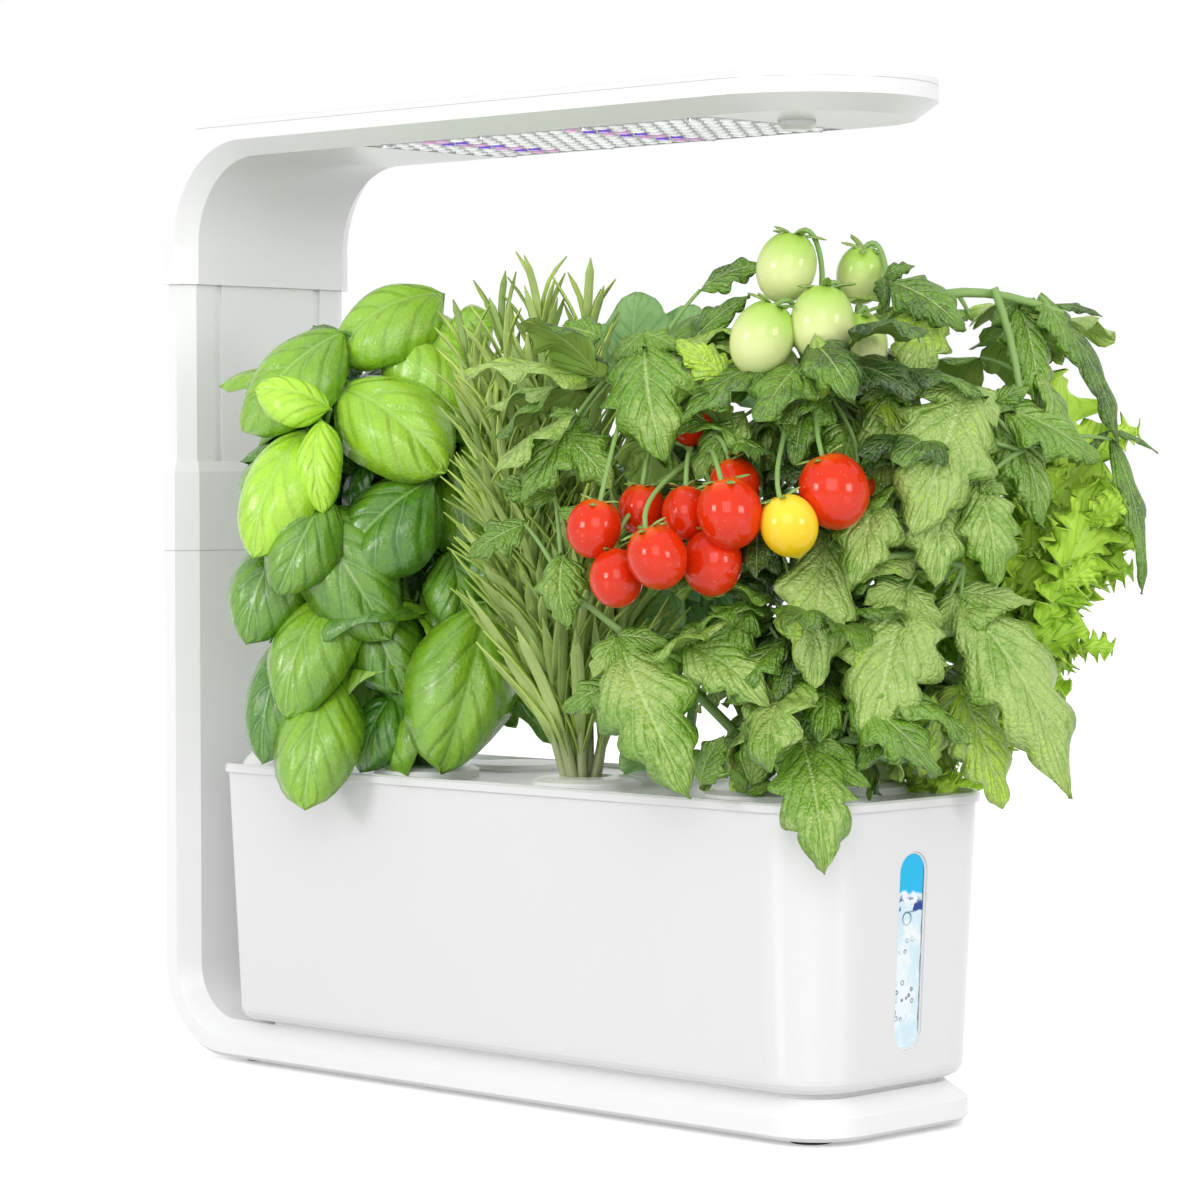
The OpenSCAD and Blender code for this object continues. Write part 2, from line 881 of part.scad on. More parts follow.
module window_lens() {
    color("LightCyan", 0.4)
        on_window()
            window_bar(-lens_in - lens_t, -lens_in, -seal_t - joint_clear);
}

// ---- Deck, cap and pods ----

cap_x = tank_x0 + 17.5;
cap_y = -tank_hw + 17;
port_r = cap_r - 3;
port_lip = 0.8;
hinge_z = deck_z + 3;
hinge_y = cap_y + cap_r + 2.4;
hinge_r = 1.8;
hinge_pin_r = 0.8;
ear_w = 3;
ear_x = 6;
deck_outline = [[-rim_wall - deck_gap, ledge_z], [-rim_wall - deck_gap, deck_z]];
skirt_outline = [[-rim_wall - deck_gap - 3.6, ledge_z - 5], [-rim_wall - deck_gap - 3.6, ledge_z + eps]];
skirt_hollow = [[-rim_wall - deck_gap - 5, ledge_z - 6], [-rim_wall - deck_gap - 5, ledge_z]];

module planting_deck() {
    color(white)
        difference() {
            union() {
                tub(deck_outline);
                difference() {
                    tub(skirt_outline);
                    tub(skirt_hollow);
                }
                pin_z(cap_x, cap_y, deck_z - eps, deck_z + port_lip, port_r + 1);
                for (s = [-1, 1])
                    hinge_ear(cap_x + s * ear_x, ear_w, deck_z);
            }
            pin_z(cap_x, cap_y, ledge_z - 6, deck_z + port_lip + cut, port_r);
            for (i = [0:2])
                for (y = [front_y, back_y])
                    pin_z(station(i), y, ledge_z - 6, deck_z + cut, pod_r);
            translate([cap_x - body_w, hinge_y, hinge_z])
                rotate([0, 90, 0])
                    cylinder(h = 2 * body_w, r = hinge_pin_r + joint_clear, $fn = round_fn);
        }
}

// A knuckle on a web that rises from height z.
module hinge_ear(x, w, z) {
    translate([x - w / 2, hinge_y, hinge_z])
        rotate([0, 90, 0])
            cylinder(h = w, r = hinge_r, $fn = round_fn);
    translate([x - w / 2, hinge_y - hinge_r, z - eps])
        cube([w, 2 * hinge_r, hinge_z - z]);
}

knuckle_w = 2 * ear_x - ear_w - 0.6;
cap_z = deck_z + 0.3;
cap_ball_r = (pow(cap_r, 2) + pow(cap_h, 2)) / 2 / cap_h;

module fill_cap() {
    color(white)
        difference() {
            union() {
                intersection() {
                    pin_z(cap_x, cap_y, cap_z, cap_z + cap_h + 2, cap_r);
                    translate([cap_x, cap_y, cap_z + cap_h + 1 - cap_ball_r])
                        sphere(r = cap_ball_r, $fn = 180);
                }
                translate([cap_x - knuckle_w / 2, hinge_y, hinge_z])
                    rotate([0, 90, 0])
                        cylinder(h = knuckle_w, r = hinge_r, $fn = round_fn);
                translate([cap_x - knuckle_w / 2, cap_y + cap_r - 2, hinge_z - 0.2])
                    cube([knuckle_w, hinge_y - cap_y - cap_r + 2, hinge_r]);
            }
            pin_z(cap_x, cap_y, cap_z - cut, cap_z + port_lip + 0.3, port_r + 1.8);
            translate([cap_x, cap_y, cap_z + cap_h - 1 - cap_ball_r])
                intersection() {
                    sphere(r = cap_ball_r, $fn = 180);
                    pin_z(0, 0, cap_ball_r - cap_h + 1.7, cap_ball_r + 1, port_r - 0.4);
                }
            translate([cap_x - body_w, hinge_y, hinge_z])
                rotate([0, 90, 0])
                    cylinder(h = 2 * body_w, r = hinge_pin_r + joint_clear, $fn = round_fn);
        }
}

module fill_cap_hinge_pin() {
    color("Silver")
        translate([cap_x - ear_x - ear_w / 2, hinge_y, hinge_z])
            rotate([0, 90, 0])
                cylinder(h = 2 * ear_x + ear_w, r = hinge_pin_r, $fn = round_fn);
}

module each_pod() {
    for (p = pods)
        translate([station(p[0]), p[1], 0])
            children();
}

basket_low = deck_z - pod_depth;

module pod_baskets() {
    color("DimGray")
        each_pod()
            difference() {
                union() {
                    translate([0, 0, basket_low])
                        cylinder(h = pod_depth, r1 = basket_low_r, r2 = basket_r, $fn = round_fn);
                    pin_z(0, 0, deck_z, pod_top, pod_flange_r);
                }
                translate([0, 0, basket_low + basket_wall])
                    cylinder(h = pod_depth + pod_flange_t, r1 = basket_low_r - basket_wall,
                        r2 = basket_r - basket_wall, $fn = round_fn);
                for (a = [0:45:135])
                    rotate([0, 0, a])
                        translate([-basket_r - cut, -1.2, basket_low + 6])
                            cube([2 * basket_r + 2 * cut, 2.4, pod_depth - 16]);
            }
}

module grow_sponges() {
    color("SaddleBrown")
        each_pod()
            difference() {
                translate([0, 0, basket_low + basket_wall])
                    cylinder(h = pod_depth - basket_wall, r1 = basket_low_r - basket_wall - 0.3,
                        r2 = basket_r - basket_wall - 0.5, $fn = round_fn);
                pin_z(0, 0, deck_z - 20, deck_z + cut, 3);
            }
}

cover_hole = 8;
cover_h = 2.4;

module pod_covers() {
    color(white)
        each_pod()
            rotate_extrude($fn = round_fn)
                polygon([[cover_hole, pod_top], [pod_flange_r, pod_top], [pod_flange_r, pod_top + 0.8],
                    [pod_flange_r - 3, pod_top + cover_h - 0.4], [cover_hole + 1, pod_top + cover_h],
                    [cover_hole, pod_top + cover_h - 0.6]]);
}

module pod_plug() {
    color(white)
        translate([station(0), back_y, 0])
            rotate_extrude($fn = round_fn)
                polygon([[0, deck_z - 4], [pod_r - 0.3, deck_z - 4], [pod_r - 0.3, deck_z],
                    [pod_flange_r, deck_z], [pod_flange_r, deck_z + 1],
                    [pod_flange_r - 2, deck_z + 2.2], [0, deck_z + 2.6]]);
}

// ---- Pump ----

pump_x = tank_x0 + 42;
pump_y = 8;
pump_z = inner_low;
pump_r = 17;
pump_h = 26;
rotor_r = 10;
shaft_r = 1;
rotor_clear = 0.05;
inlet_slots = 8;

module at_pump() {
    translate([pump_x, pump_y, pump_z])
        children();
}

module water_pump() {
    color("DimGray")
        at_pump()
            difference() {
                cylinder(h = pump_h, r = pump_r, $fn = round_fn);
                translate([0, 0, 8])
                    cylinder(h = pump_h, r = rotor_r + 1.5, $fn = round_fn);
                translate([0, 0, 3])
                    cylinder(h = pump_h, r = shaft_r, $fn = round_fn);
                translate([0, 0, 17])
                    rotate([-90, 0, 0])
                        cylinder(h = pump_r + cut, r = 3, $fn = round_fn);
            }
}

module pump_shaft() {
    color("Silver")
        at_pump()
            translate([0, 0, 3])
                cylinder(h = pump_h - 3, r = shaft_r, $fn = round_fn);
}

module pump_impeller() {
    color("SteelBlue")
        at_pump()
            difference() {
                union() {
                    translate([0, 0, 8.4])
                        cylinder(h = 8, r = 6, $fn = round_fn);
                    translate([0, 0, 16.4 - eps])
                        cylinder(h = 1.2, r = rotor_r, $fn = round_fn);
                    for (a = [0:60:300])
                        rotate([0, 0, a])
                            translate([2.5, -0.6, 17.4])
                                cube([rotor_r - 3, 1.2, 6]);
                    translate([0, 0, 17.4])
                        cylinder(h = 6, r = 3, $fn = round_fn);
                }
                cylinder(h = pump_h, r = shaft_r + rotor_clear, $fn = round_fn);
            }
}

module pump_cover() {
    color("DimGray")
        at_pump()
            difference() {
                translate([0, 0, pump_h])
                    cylinder(h = 2.4, r = pump_r, $fn = round_fn);
                for (a = [0:360 / inlet_slots:359])
                    rotate([0, 0, a])
                        translate([4, -0.8, pump_h - cut])
                            cube([7, 1.6, 5]);
            }
}

module pump_intake_sponge() {
    color("Black")
        at_pump()
            translate([0, 0, pump_h + 2.4])
                cylinder(h = 7, r = pump_r - 2, $fn = round_fn);
}

tube_r = 4.2;
tube_y = pump_y + pump_r + 5;

module pump_outlet_tube() {
    color("LightGray")
        translate([pump_x, 0, pump_z + 17]) {
            difference() {
                union() {
                    translate([0, pump_y + pump_r, 0])
                        rotate([-90, 0, 0])
                            cylinder(h = 5, r = tube_r, $fn = round_fn);
                    translate([0, tube_y, -tube_r])
                        cylinder(h = 50, r = tube_r, $fn = round_fn);
                }
                translate([0, pump_y + pump_r - cut, 0])
                    rotate([-90, 0, 0])
                        cylinder(h = 6, r = 3, $fn = round_fn);
                translate([0, tube_y, -3])
                    cylinder(h = 60, r = 3, $fn = round_fn);
            }
        }
}

// ---- Plants: plain closed forms of the right size and place ----

stem_z = pod_top + cover_h;
split_z = lamp_under - travel - 10;
plant_split = 261;
crown_lift = max(0, split_z - plant_split);
reach = 300;

// A ball stretched to radii rx, ry, rz, with its middle at the given place.
module blob(place, radii) {
    translate(place)
        scale(radii)
            sphere(r = 1, $fn = plant_fn);
}

// Upper growth, which rises with a taller lamp.
module raised() {
    translate([0, 0, crown_lift])
        children();
}

// What lies below, and above, the height that the lowered lamp reaches.
module below_split() {
    intersection() {
        union()
            children();
        translate([-reach, -reach, 0])
            cube([2 * reach, 2 * reach, split_z]);
    }
}

module above_split() {
    intersection() {
        union()
            children();
        translate([-reach, -reach, split_z])
            cube([2 * reach, 2 * reach, reach]);
    }
}

plant_fn = 26;
stem_r = 6;
root_r = 2.9;
root_len = 18;

// A stem from the sponge's hole up through the pod's cover to height z.
module stem(i, y, z) {
    pin_z(station(i), y, deck_z - root_len, stem_z, root_r);
    pin_z(station(i), y, stem_z, z, stem_r);
}

module basil_form() {
    stem(0, front_y, 190 + crown_lift);
    raised() {
        blob([-56, front_y - 15, 205], [38, 46, 74]);
        blob([-44, front_y - 5, 252], [34, 32, 38]);
    }
    blob([-26, front_y - 3, 153], [24, 22, 36]);
}

module basil_plant() {
    color("ForestGreen")
        below_split()
            basil_form();
}

module basil_crown() {
    color("YellowGreen")
        above_split()
            basil_form();
}

module rosemary_form() {
    stem(1, front_y, 190 + crown_lift);
    raised() {
        blob([26, front_y - 13, 215], [25, 25, 60]);
        blob([20, front_y - 17, 262], [20, 17, 36]);
    }
}

module rosemary_plant() {
    color("OliveDrab")
        below_split()
            rosemary_form();
}

module rosemary_crown() {
    color("OliveDrab")
        above_split()
            rosemary_form();
}

module tomato_form() {
    stem(2, front_y, 232 + crown_lift);
    intersection() {
        blob([140, front_y + 1, 164], [32, 20, 46]);
        translate([-reach, -reach, lowest_leaf])
            cube([2 * reach, 2 * reach, reach]);
    }
    raised() {
        blob([132, front_y + 15, 256], [38, 30, 35]);
        blob([88, front_y - 27, 240], [24, 26, 24]);
        blob(arm_end, [20, 24, 18]);
        limb([140, front_y + 13, 258], arm_end, 2);
        limb([126, front_y + 7, 250], [94, front_y - 23, 240], 2);
    }
}

arm_end = [180, 40, 264];
lowest_leaf = 121;

// A round limb between two places.
module limb(start, end, r) {
    d = end - start;
    translate(start)
        rotate([0, atan2(norm([d[0], d[1]]), d[2]), atan2(d[1], d[0])])
            cylinder(h = norm(d), r = r, $fn = round_fn);
}

// Fruits, and for each the place on the plant that its stalk grows from.
fruit_r = 8.9;
upper_left = [94, -50, 236 + crown_lift];
upper_mid = [108, -24, 240 + crown_lift];
upper_right = [146, -18, 246 + crown_lift];
lower_left = [112, -22, 171];
fruits = [[[101, -83, 201], upper_left], [[109, -81, 185], lower_left], [[104, -64, 207], upper_left],
    [[128, -82, 192], lower_left], [[123, -63, 206], upper_mid], [[133, -61, 190], [136, -28, 186]],
    [[142, -63, 206], upper_right], [[129, -46, 215], upper_mid], [[162, -35, 213], upper_right],
    [[156, -50, 202], upper_right]];
stalk_r = 1.1;

// A stalk from just off a fruit's skin to its place on the plant.
module stalk(fruit, place) {
    d = place - fruit;
    limb(fruit + d * (fruit_r + joint_clear) / norm(d), place, stalk_r);
}

module tomato_plant() {
    color("OliveDrab")
        below_split() {
            tomato_form();
            for (f = fruits)
                stalk(f[0], f[1]);
        }
}

module tomato_crown() {
    color("YellowGreen")
        above_split()
            tomato_form();
}

module ripe_tomatoes() {
    color("Red")
        for (f = fruits)
            translate(f[0])
                sphere(r = fruit_r, $fn = 30);
}

module lettuce_plant() {
    color("LawnGreen") {
        stem(2, back_y, 150);
        blob([158, back_y + 33, 178], [36, 29, 62]);
        limb([station(2), back_y, 130], [158, back_y + 33, 150], stem_r);
    }
}

module leafy_form() {
    stem(1, back_y, 190 + crown_lift);
    raised()
        blob([36, back_y + 4, 214], [30, 24, 68]);
}

module leafy_herb() {
    color("SeaGreen")
        below_split()
            leafy_form();
}

module leafy_herb_crown() {
    color("SeaGreen")
        above_split()
            leafy_form();
}

stand_shell();
base_bottom_plate();
rubber_feet();
bottom_screws();
column_collar();
brake_pads();
mast_stop_screw();
dc_inlet();
control_board();
control_board_screws();
mast_tube();
mast_screws();
lamp_housing();
lamp_top_cover();
heat_spreader();
led_board();
white_leds();
red_leds();
blue_leds();
led_board_screws();
lamp_driver_board();
button_switch();
light_button();
water_tank();
window_lens();
window_seal();
planting_deck();
fill_cap();
fill_cap_hinge_pin();
pod_baskets();
grow_sponges();
pod_covers();
pod_plug();
water_pump();
pump_cover();
pump_intake_sponge();
pump_impeller();
pump_shaft();
pump_outlet_tube();
basil_plant();
basil_crown();
rosemary_plant();
rosemary_crown();
tomato_plant();
tomato_crown();
ripe_tomatoes();
lettuce_plant();
leafy_herb();
leafy_herb_crown();
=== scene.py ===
# Countertop hydroponic garden: finishes, plants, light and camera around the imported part.
import math
import random
import bpy
import bmesh
from mathutils import Matrix, Vector


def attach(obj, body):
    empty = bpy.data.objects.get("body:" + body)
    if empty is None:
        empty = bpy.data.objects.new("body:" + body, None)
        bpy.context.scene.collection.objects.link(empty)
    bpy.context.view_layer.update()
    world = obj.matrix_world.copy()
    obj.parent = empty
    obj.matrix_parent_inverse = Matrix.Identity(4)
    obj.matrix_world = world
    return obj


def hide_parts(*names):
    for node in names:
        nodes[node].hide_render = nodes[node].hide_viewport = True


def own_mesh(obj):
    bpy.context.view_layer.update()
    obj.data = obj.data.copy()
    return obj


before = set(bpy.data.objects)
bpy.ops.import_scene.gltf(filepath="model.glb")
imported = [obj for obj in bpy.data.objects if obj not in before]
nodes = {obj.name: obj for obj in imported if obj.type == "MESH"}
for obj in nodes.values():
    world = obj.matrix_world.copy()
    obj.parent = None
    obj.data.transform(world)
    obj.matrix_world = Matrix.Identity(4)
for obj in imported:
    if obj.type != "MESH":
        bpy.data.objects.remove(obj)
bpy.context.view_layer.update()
scene = bpy.context.scene
mm = 0.001
print("frame loaded:", len(nodes), "nodes")

# Camera, floor, world and lamps: metres, radians and watts.
view = {"place": (1.003914, -1.010435, 0.217123), "azimuth": 0.770602, "elevation": 0.0304523,
        "roll": -0.0016308, "lens": 119.63, "sensor": 36.0, "clip": (0.05, 60)}
stage = {"floorHalf": 6.0, "floorColour": (0.98, 0.98, 0.98), "floorBounce": (0.50, 0.50, 0.50),
         "floorGlow": 0.32, "floorRough": 0.32, "worldFill": 0.89, "worldTint": (1.0, 1.0, 1.0)}
lamps = [
    {"name": "skyPanel", "place": (0.1, 0.1, 1.5), "aim": (0.0, 0.0, 0.1), "size": 1.6, "power": 0.6},
    {"name": "leftPanel", "place": (-0.15, -1.65, 0.5), "aim": (0.0, 0.0, 0.17), "size": 0.42, "power": 7.0},
    {"name": "rightPanel", "place": (1.65, -0.05, 0.5), "aim": (0.05, 0.0, 0.17), "size": 0.42,
     "power": 5.0},
    {"name": "frontPanel", "place": (1.15, -1.25, 0.75), "aim": (0.0, 0.0, 0.18), "size": 0.9, "power": 6.5},
]


def addNode(tree, kind, **settings):
    node = tree.nodes.new(kind)
    for key, value in settings.items():
        setattr(node, key, value)
    return node


def isSocket(value):
    return isinstance(value, bpy.types.NodeSocket)


def feed(value, socket):
    # A socket or a plain value goes into an input. A socket's id_data is the tree that holds it.
    if isSocket(value):
        socket.id_data.links.new(value, socket)
    elif value is not None:
        socket.default_value = value


def nextNode(values, kind, **settings):
    # A node in the tree of the first socket among the values.
    return addNode(next(value.id_data for value in values if isSocket(value)), kind, **settings)


def calc(operation, a, b=None, c=None, clamp=False):
    node = nextNode((a, b, c), "ShaderNodeMath", operation=operation, use_clamp=clamp)
    for value, socket in zip((a, b, c), node.inputs):
        feed(value, socket)
    return node.outputs[0]


def product(value, *others):
    for other in others:
        value = calc("MULTIPLY", value, other)
    return value


def blend(factor, a, b, mode="MIX"):
    node = nextNode((factor, a, b), "ShaderNodeMix", data_type="RGBA", blend_type=mode)
    feed(factor, node.inputs[0])
    for value, socket in ((a, node.inputs[6]), (b, node.inputs[7])):
        feed(value if isSocket(value) else (*value, 1.0), socket)
    return node.outputs[2]


def rise(value, low, high, outLow=0.0, outHigh=1.0):
    # Smooth step from outLow to outHigh between low and high.
    node = nextNode((value,), "ShaderNodeMapRange", interpolation_type="SMOOTHSTEP")
    for item, socket in zip((value, low, high, outLow, outHigh), node.inputs):
        feed(item, socket)
    return node.outputs[0]


def place(tree):
    return addNode(tree, "ShaderNodeTexCoord").outputs["Object"]


def axes(where):
    # The X, Y and Z outputs of a place.
    node = nextNode((where,), "ShaderNodeSeparateXYZ")
    feed(where, node.inputs[0])
    return node.outputs


def pattern(kind, where, settings, **options):
    # A texture or mapping node at a place, with some of its inputs set.
    node = nextNode((where,), "ShaderNode" + kind, **options)
    feed(where, node.inputs["Vector"])
    for key, value in settings.items():
        feed(value, node.inputs[key])
    return node.outputs


def stretched(where, scale):
    return pattern("Mapping", where, {"Scale": scale})["Vector"]


def cells(where, scale, feature="F1"):
    return pattern("TexVoronoi", where, {"Scale": scale}, feature=feature)["Distance"]


def seenBy(tree, *rays):
    # 1 where one of these kinds of ray arrives, else 0.
    path = addNode(tree, "ShaderNodeLightPath")
    seen = path.outputs[rays[0]]
    for ray in rays[1:]:
        seen = calc("MAXIMUM", seen, path.outputs[ray])
    return seen


def speckle(where, scale, detail=2.0):
    return pattern("TexNoise", where, {"Scale": scale, "Detail": detail})["Fac"]


def uneven(where, scale, detail, amount):
    # Noise around zero.
    return product(calc("SUBTRACT", speckle(where, scale, detail), 0.5), amount)


def sheetValue(tree, name):
    # A number that the mesh holds at each vertex.
    return addNode(tree, "ShaderNodeAttribute", attribute_name=name).outputs["Fac"]


def newMaterial(name, colour, rough, sockets=None):
    material = bpy.data.materials.new(name)
    material.use_nodes = True
    tree = material.node_tree
    shader = tree.nodes["Principled BSDF"]
    shader.inputs["Base Color"].default_value = (*colour, 1.0)
    shader.inputs["Roughness"].default_value = rough
    for key, value in (sockets or {}).items():
        shader.inputs[key].default_value = value
    return material, tree, shader


def addBump(shader, height, strength, distance):
    bump = nextNode((height,), "ShaderNodeBump")
    for key, value in (("Strength", strength), ("Distance", distance), ("Height", height)):
        feed(value, bump.inputs[key])
    feed(bump.outputs["Normal"], shader.inputs["Normal"])


def paint(shader, colour):
    feed(colour, shader.inputs["Base Color"])


def meshFrom(bm, name, smooth=False):
    for face in bm.faces:
        face.smooth = smooth
    mesh = bpy.data.meshes.new(name)
    bm.to_mesh(mesh)
    bm.free()
    return mesh


def addObject(name, data):
    item = bpy.data.objects.new(name, data)
    scene.collection.objects.link(item)
    return item


def makeCamera():
    a, e, r = view["azimuth"], view["elevation"], view["roll"]
    back = Vector((math.sin(a) * math.cos(e), -math.cos(a) * math.cos(e), math.sin(e)))
    right = Vector((math.cos(a), math.sin(a), 0.0))
    up = back.cross(right)
    side = right * math.cos(r) + up * math.sin(r)
    top = up * math.cos(r) - right * math.sin(r)
    data = bpy.data.cameras.new("viewCamera")
    data.lens = view["lens"]
    data.sensor_width = view["sensor"]
    data.clip_start, data.clip_end = view["clip"]
    camera = addObject("viewCamera", data)
    turn = Matrix((side, top, back)).transposed().to_4x4()
    turn.translation = Vector(view["place"])
    camera.matrix_world = turn
    scene.camera = camera


def makeStage():
    bm = bmesh.new()
    bmesh.ops.create_grid(bm, x_segments=1, y_segments=1, size=stage["floorHalf"])
    mesh = meshFrom(bm, "floor")
    floor = addObject("floor", mesh)
    material, tree, shader = newMaterial("floorWhite", stage["floorColour"], stage["floorRough"])
    seen = seenBy(tree, "Is Camera Ray", "Is Glossy Ray")
    paint(shader, blend(seen, stage["floorBounce"], stage["floorColour"]))
    shader.inputs["Emission Color"].default_value = (1, 1, 1, 1)
    feed(product(seen, stage["floorGlow"]), shader.inputs["Emission Strength"])
    mesh.materials.append(material)
    world = bpy.data.worlds.new("studio")
    scene.world = world
    world.use_nodes = True
    tree = world.node_tree
    back = tree.nodes["Background"]
    seen = seenBy(tree, "Is Camera Ray", "Is Glossy Ray", "Is Transmission Ray")
    back.inputs["Color"].default_value = (*stage["worldTint"], 1.0)
    feed(rise(seen, 0.0, 1.0, stage["worldFill"], 1.0), back.inputs["Strength"])
    for lamp in lamps:
        data = bpy.data.lights.new(lamp["name"], "AREA")
        data.size = lamp["size"]
        data.energy = lamp["power"]
        item = addObject(lamp["name"], data)
        item.location = lamp["place"]
        ray = Vector(lamp["aim"]) - Vector(lamp["place"])
        item.rotation_euler = ray.to_track_quat("-Z", "Y").to_euler()


makeCamera()
makeStage()
scene.view_settings.view_transform = "Standard"
print("camera and stage placed")


def newGroup(name, inputs, outputs):
    group = bpy.data.node_groups.new(name, "ShaderNodeTree")
    for title, value in inputs:
        socket = group.interface.new_socket(name=title, in_out="INPUT", socket_type="NodeSocketFloat")
        socket.default_value = value
    for title in outputs:
        group.interface.new_socket(name=title, in_out="OUTPUT", socket_type="NodeSocketFloat")
    return group, group.nodes.new("NodeGroupInput"), group.nodes.new("NodeGroupOutput")


def useGroup(tree, group, values):
    node = addNode(tree, "ShaderNodeGroup", node_tree=group)
    for key, value in values.items():
        feed(value, node.inputs[key])
    return node


def mouldedGroup():
    # Fine spark-eroded grain with a slow change in gloss, as on moulded housings.
    group, start, end = newGroup("mouldedSkin", [("Grain", 900.0), ("Rough", 0.3)],
                                 ["Height", "Rough", "Shade"])
    where = place(group)
    fine = speckle(where, start.outputs["Grain"], 3.0)
    slow = speckle(where, 14.0)
    feed(fine, end.inputs["Height"])
    rough = calc("MULTIPLY_ADD", fine, 0.02, calc("MULTIPLY_ADD", slow, 0.10, start.outputs["Rough"]))
    feed(calc("SUBTRACT", rough, 0.06), end.inputs["Rough"])
    feed(rise(slow, 0.25, 0.75, 0.985, 1.0), end.inputs["Shade"])
    return group


mouldedSkin = mouldedGroup()
# Where two shells meet flush: the joint's height above the node's lowest point, its width and colour.
seams = {
    "column_collar": {"lift": 0.0, "width": 0.0006, "shade": (0.58, 0.58, 0.59)},
    "lamp_top_cover": {"lift": 0.002, "width": 0.0005, "shade": (0.58, 0.58, 0.59)},
}


def moulded(name, colour, rough, grain=2600.0, bump=0.02, seamNode=None, coat=0.0):
    material, tree, shader = newMaterial(name, colour, rough, {"Coat Weight": coat})
    skin = useGroup(tree, mouldedSkin, {"Grain": grain, "Rough": rough})
    shown = blend(1.0, colour, skin.outputs["Shade"], "MULTIPLY")
    if seamNode:
        # A shaded joint line near the shell's lower edge.
        seam = seams[seamNode]
        low = min(vertex.co.z for vertex in nodes[seamNode].data.vertices) + seam["lift"]
        away = calc("ABSOLUTE", calc("SUBTRACT", axes(place(tree))["Z"], low))
        line = rise(away, seam["width"], seam["width"] * 0.4)
        shown = blend(line, shown, seam["shade"])
    paint(shader, shown)
    feed(skin.outputs["Rough"], shader.inputs["Roughness"])
    addBump(shader, skin.outputs["Height"], bump, 0.0001)
    return material


def turnedMetal(name, colour, rough):
    # Fine turning marks from a noise stretched along one direction.
    material, tree, shader = newMaterial(name, colour, rough, {"Metallic": 1.0})
    marks = speckle(stretched(place(tree), (1.0, 1.0, 12.0)), 380.0, 3.0)
    feed(rise(marks, 0.3, 0.7, rough - 0.08, rough + 0.12), shader.inputs["Roughness"])
    addBump(shader, marks, 0.08, 0.0002)
    return material


def circuitBoard(name, base, trace):
    # Solder mask with straight tracks, from a stretched brick pattern, and small pads.
    material, tree, shader = newMaterial(name, base, 0.35)
    where = place(tree)
    bricks = pattern("TexBrick", where, {"Scale": 90.0, "Mortar Size": 0.06}, offset=0.37)
    tracks = product(bricks["Fac"], 0.7)
    pads = rise(cells(where, 260.0), 0.22, 0.18)
    colour = blend(tracks, base, trace)
    paint(shader, blend(product(pads, 0.25), colour, (0.75, 0.72, 0.6)))
    addBump(shader, calc("ADD", tracks, pads), 0.2, 0.0001)
    return material


def foam(name, colour, scale):
    material, tree, shader = newMaterial(name, colour, 0.95)
    wall = rise(cells(place(tree), scale, "DISTANCE_TO_EDGE"), 0.02, 0.22)
    paint(shader, blend(wall, colour, tuple(value * 0.45 for value in colour)))
    addBump(shader, wall, 0.8, 0.0008)
    return material


def lightSpot(name, body, glow, strength):
    # A small moulded package: pale frame, glowing phosphor with slightly uneven output.
    material, tree, shader = newMaterial(name, body, 0.3)
    patch = speckle(place(tree), 60.0, 1.0)
    shader.inputs["Emission Color"].default_value = (*glow, 1.0)
    feed(rise(patch, 0.3, 0.7, strength * 0.75, strength), shader.inputs["Emission Strength"])
    addBump(shader, patch, 0.1, 0.0002)
    return material


windowLook = {"low": 0.0284, "high": 0.0944, "cyan": (0.0, 0.50, 0.86), "deep": (0.0, 0.05, 0.28),
              "pale": (0.86, 0.93, 0.97), "mist": (0.66, 0.84, 0.93), "shade": (0.04, 0.06, 0.10),
              "bubble": (-0.0016, 0.0722, 0.0026)}


def waterWindow():
    # A cyan band of light over the water line, then pale water with bubbles.
    look = windowLook
    sockets = {"IOR": 1.45, "Specular IOR Level": 0.3}
    material, tree, shader = newMaterial("windowClear", look["pale"], 0.08, sockets)
    where = place(tree)
    parts = axes(where)
    across = parts["Y"]
    tall = calc("DIVIDE", calc("SUBTRACT", parts["Z"], look["low"]), look["high"] - look["low"])
    ripple = speckle(where, 170.0)
    line = calc("MULTIPLY_ADD", ripple, 0.10, tall)
    mist = rise(speckle(where, 120.0, 3.0), 0.42, 0.62)
    colour = blend(mist, look["pale"], look["mist"])
    streak = rise(speckle(where, 260.0, 3.0), 0.60, 0.68)
    colour = blend(product(streak, 0.7), colour, (0.93, 0.97, 1.0))
    spot = cells(where, 330.0)
    chance = rise(speckle(where, 75.0, 0.0), 0.50, 0.58)
    ring = product(rise(spot, 0.34, 0.26), rise(spot, 0.14, 0.24), chance, rise(tall, 0.62, 0.50))
    colour = blend(product(ring, 0.85), colour, (0.02, 0.07, 0.14))
    # One large bubble, by the distance from its middle.
    aside = calc("SUBTRACT", across, look["bubble"][0])
    above = calc("SUBTRACT", parts["Z"], look["bubble"][1])
    far = calc("SQRT", calc("ADD", product(aside, aside), product(above, above)))
    size = look["bubble"][2]
    rim = product(rise(far, size, size * 0.86), rise(far, size * 0.6, size * 0.78),
                  rise(above, -0.0026, 0.0012, 0.35, 1.0))
    colour = blend(product(rim, 0.9), colour, (0.01, 0.12, 0.24))
    splash = product(rise(line, 0.735, 0.755), rise(line, 0.84, 0.80),
                     rise(speckle(where, 300.0), 0.44, 0.50))
    colour = blend(splash, colour, look["deep"])
    colour = blend(rise(line, 0.835, 0.85), colour, look["cyan"])
    # Painted shade along the lens's side edge, where the wall of the recess shades it.
    side = rise(calc("MULTIPLY_ADD", ripple, 0.0012, across), 0.0062, 0.0068)
    paint(shader, blend(product(side, 0.85), colour, look["shade"]))
    addBump(shader, ripple, 0.05, 0.0003)
    return material


shellColour = (0.885, 0.885, 0.89)
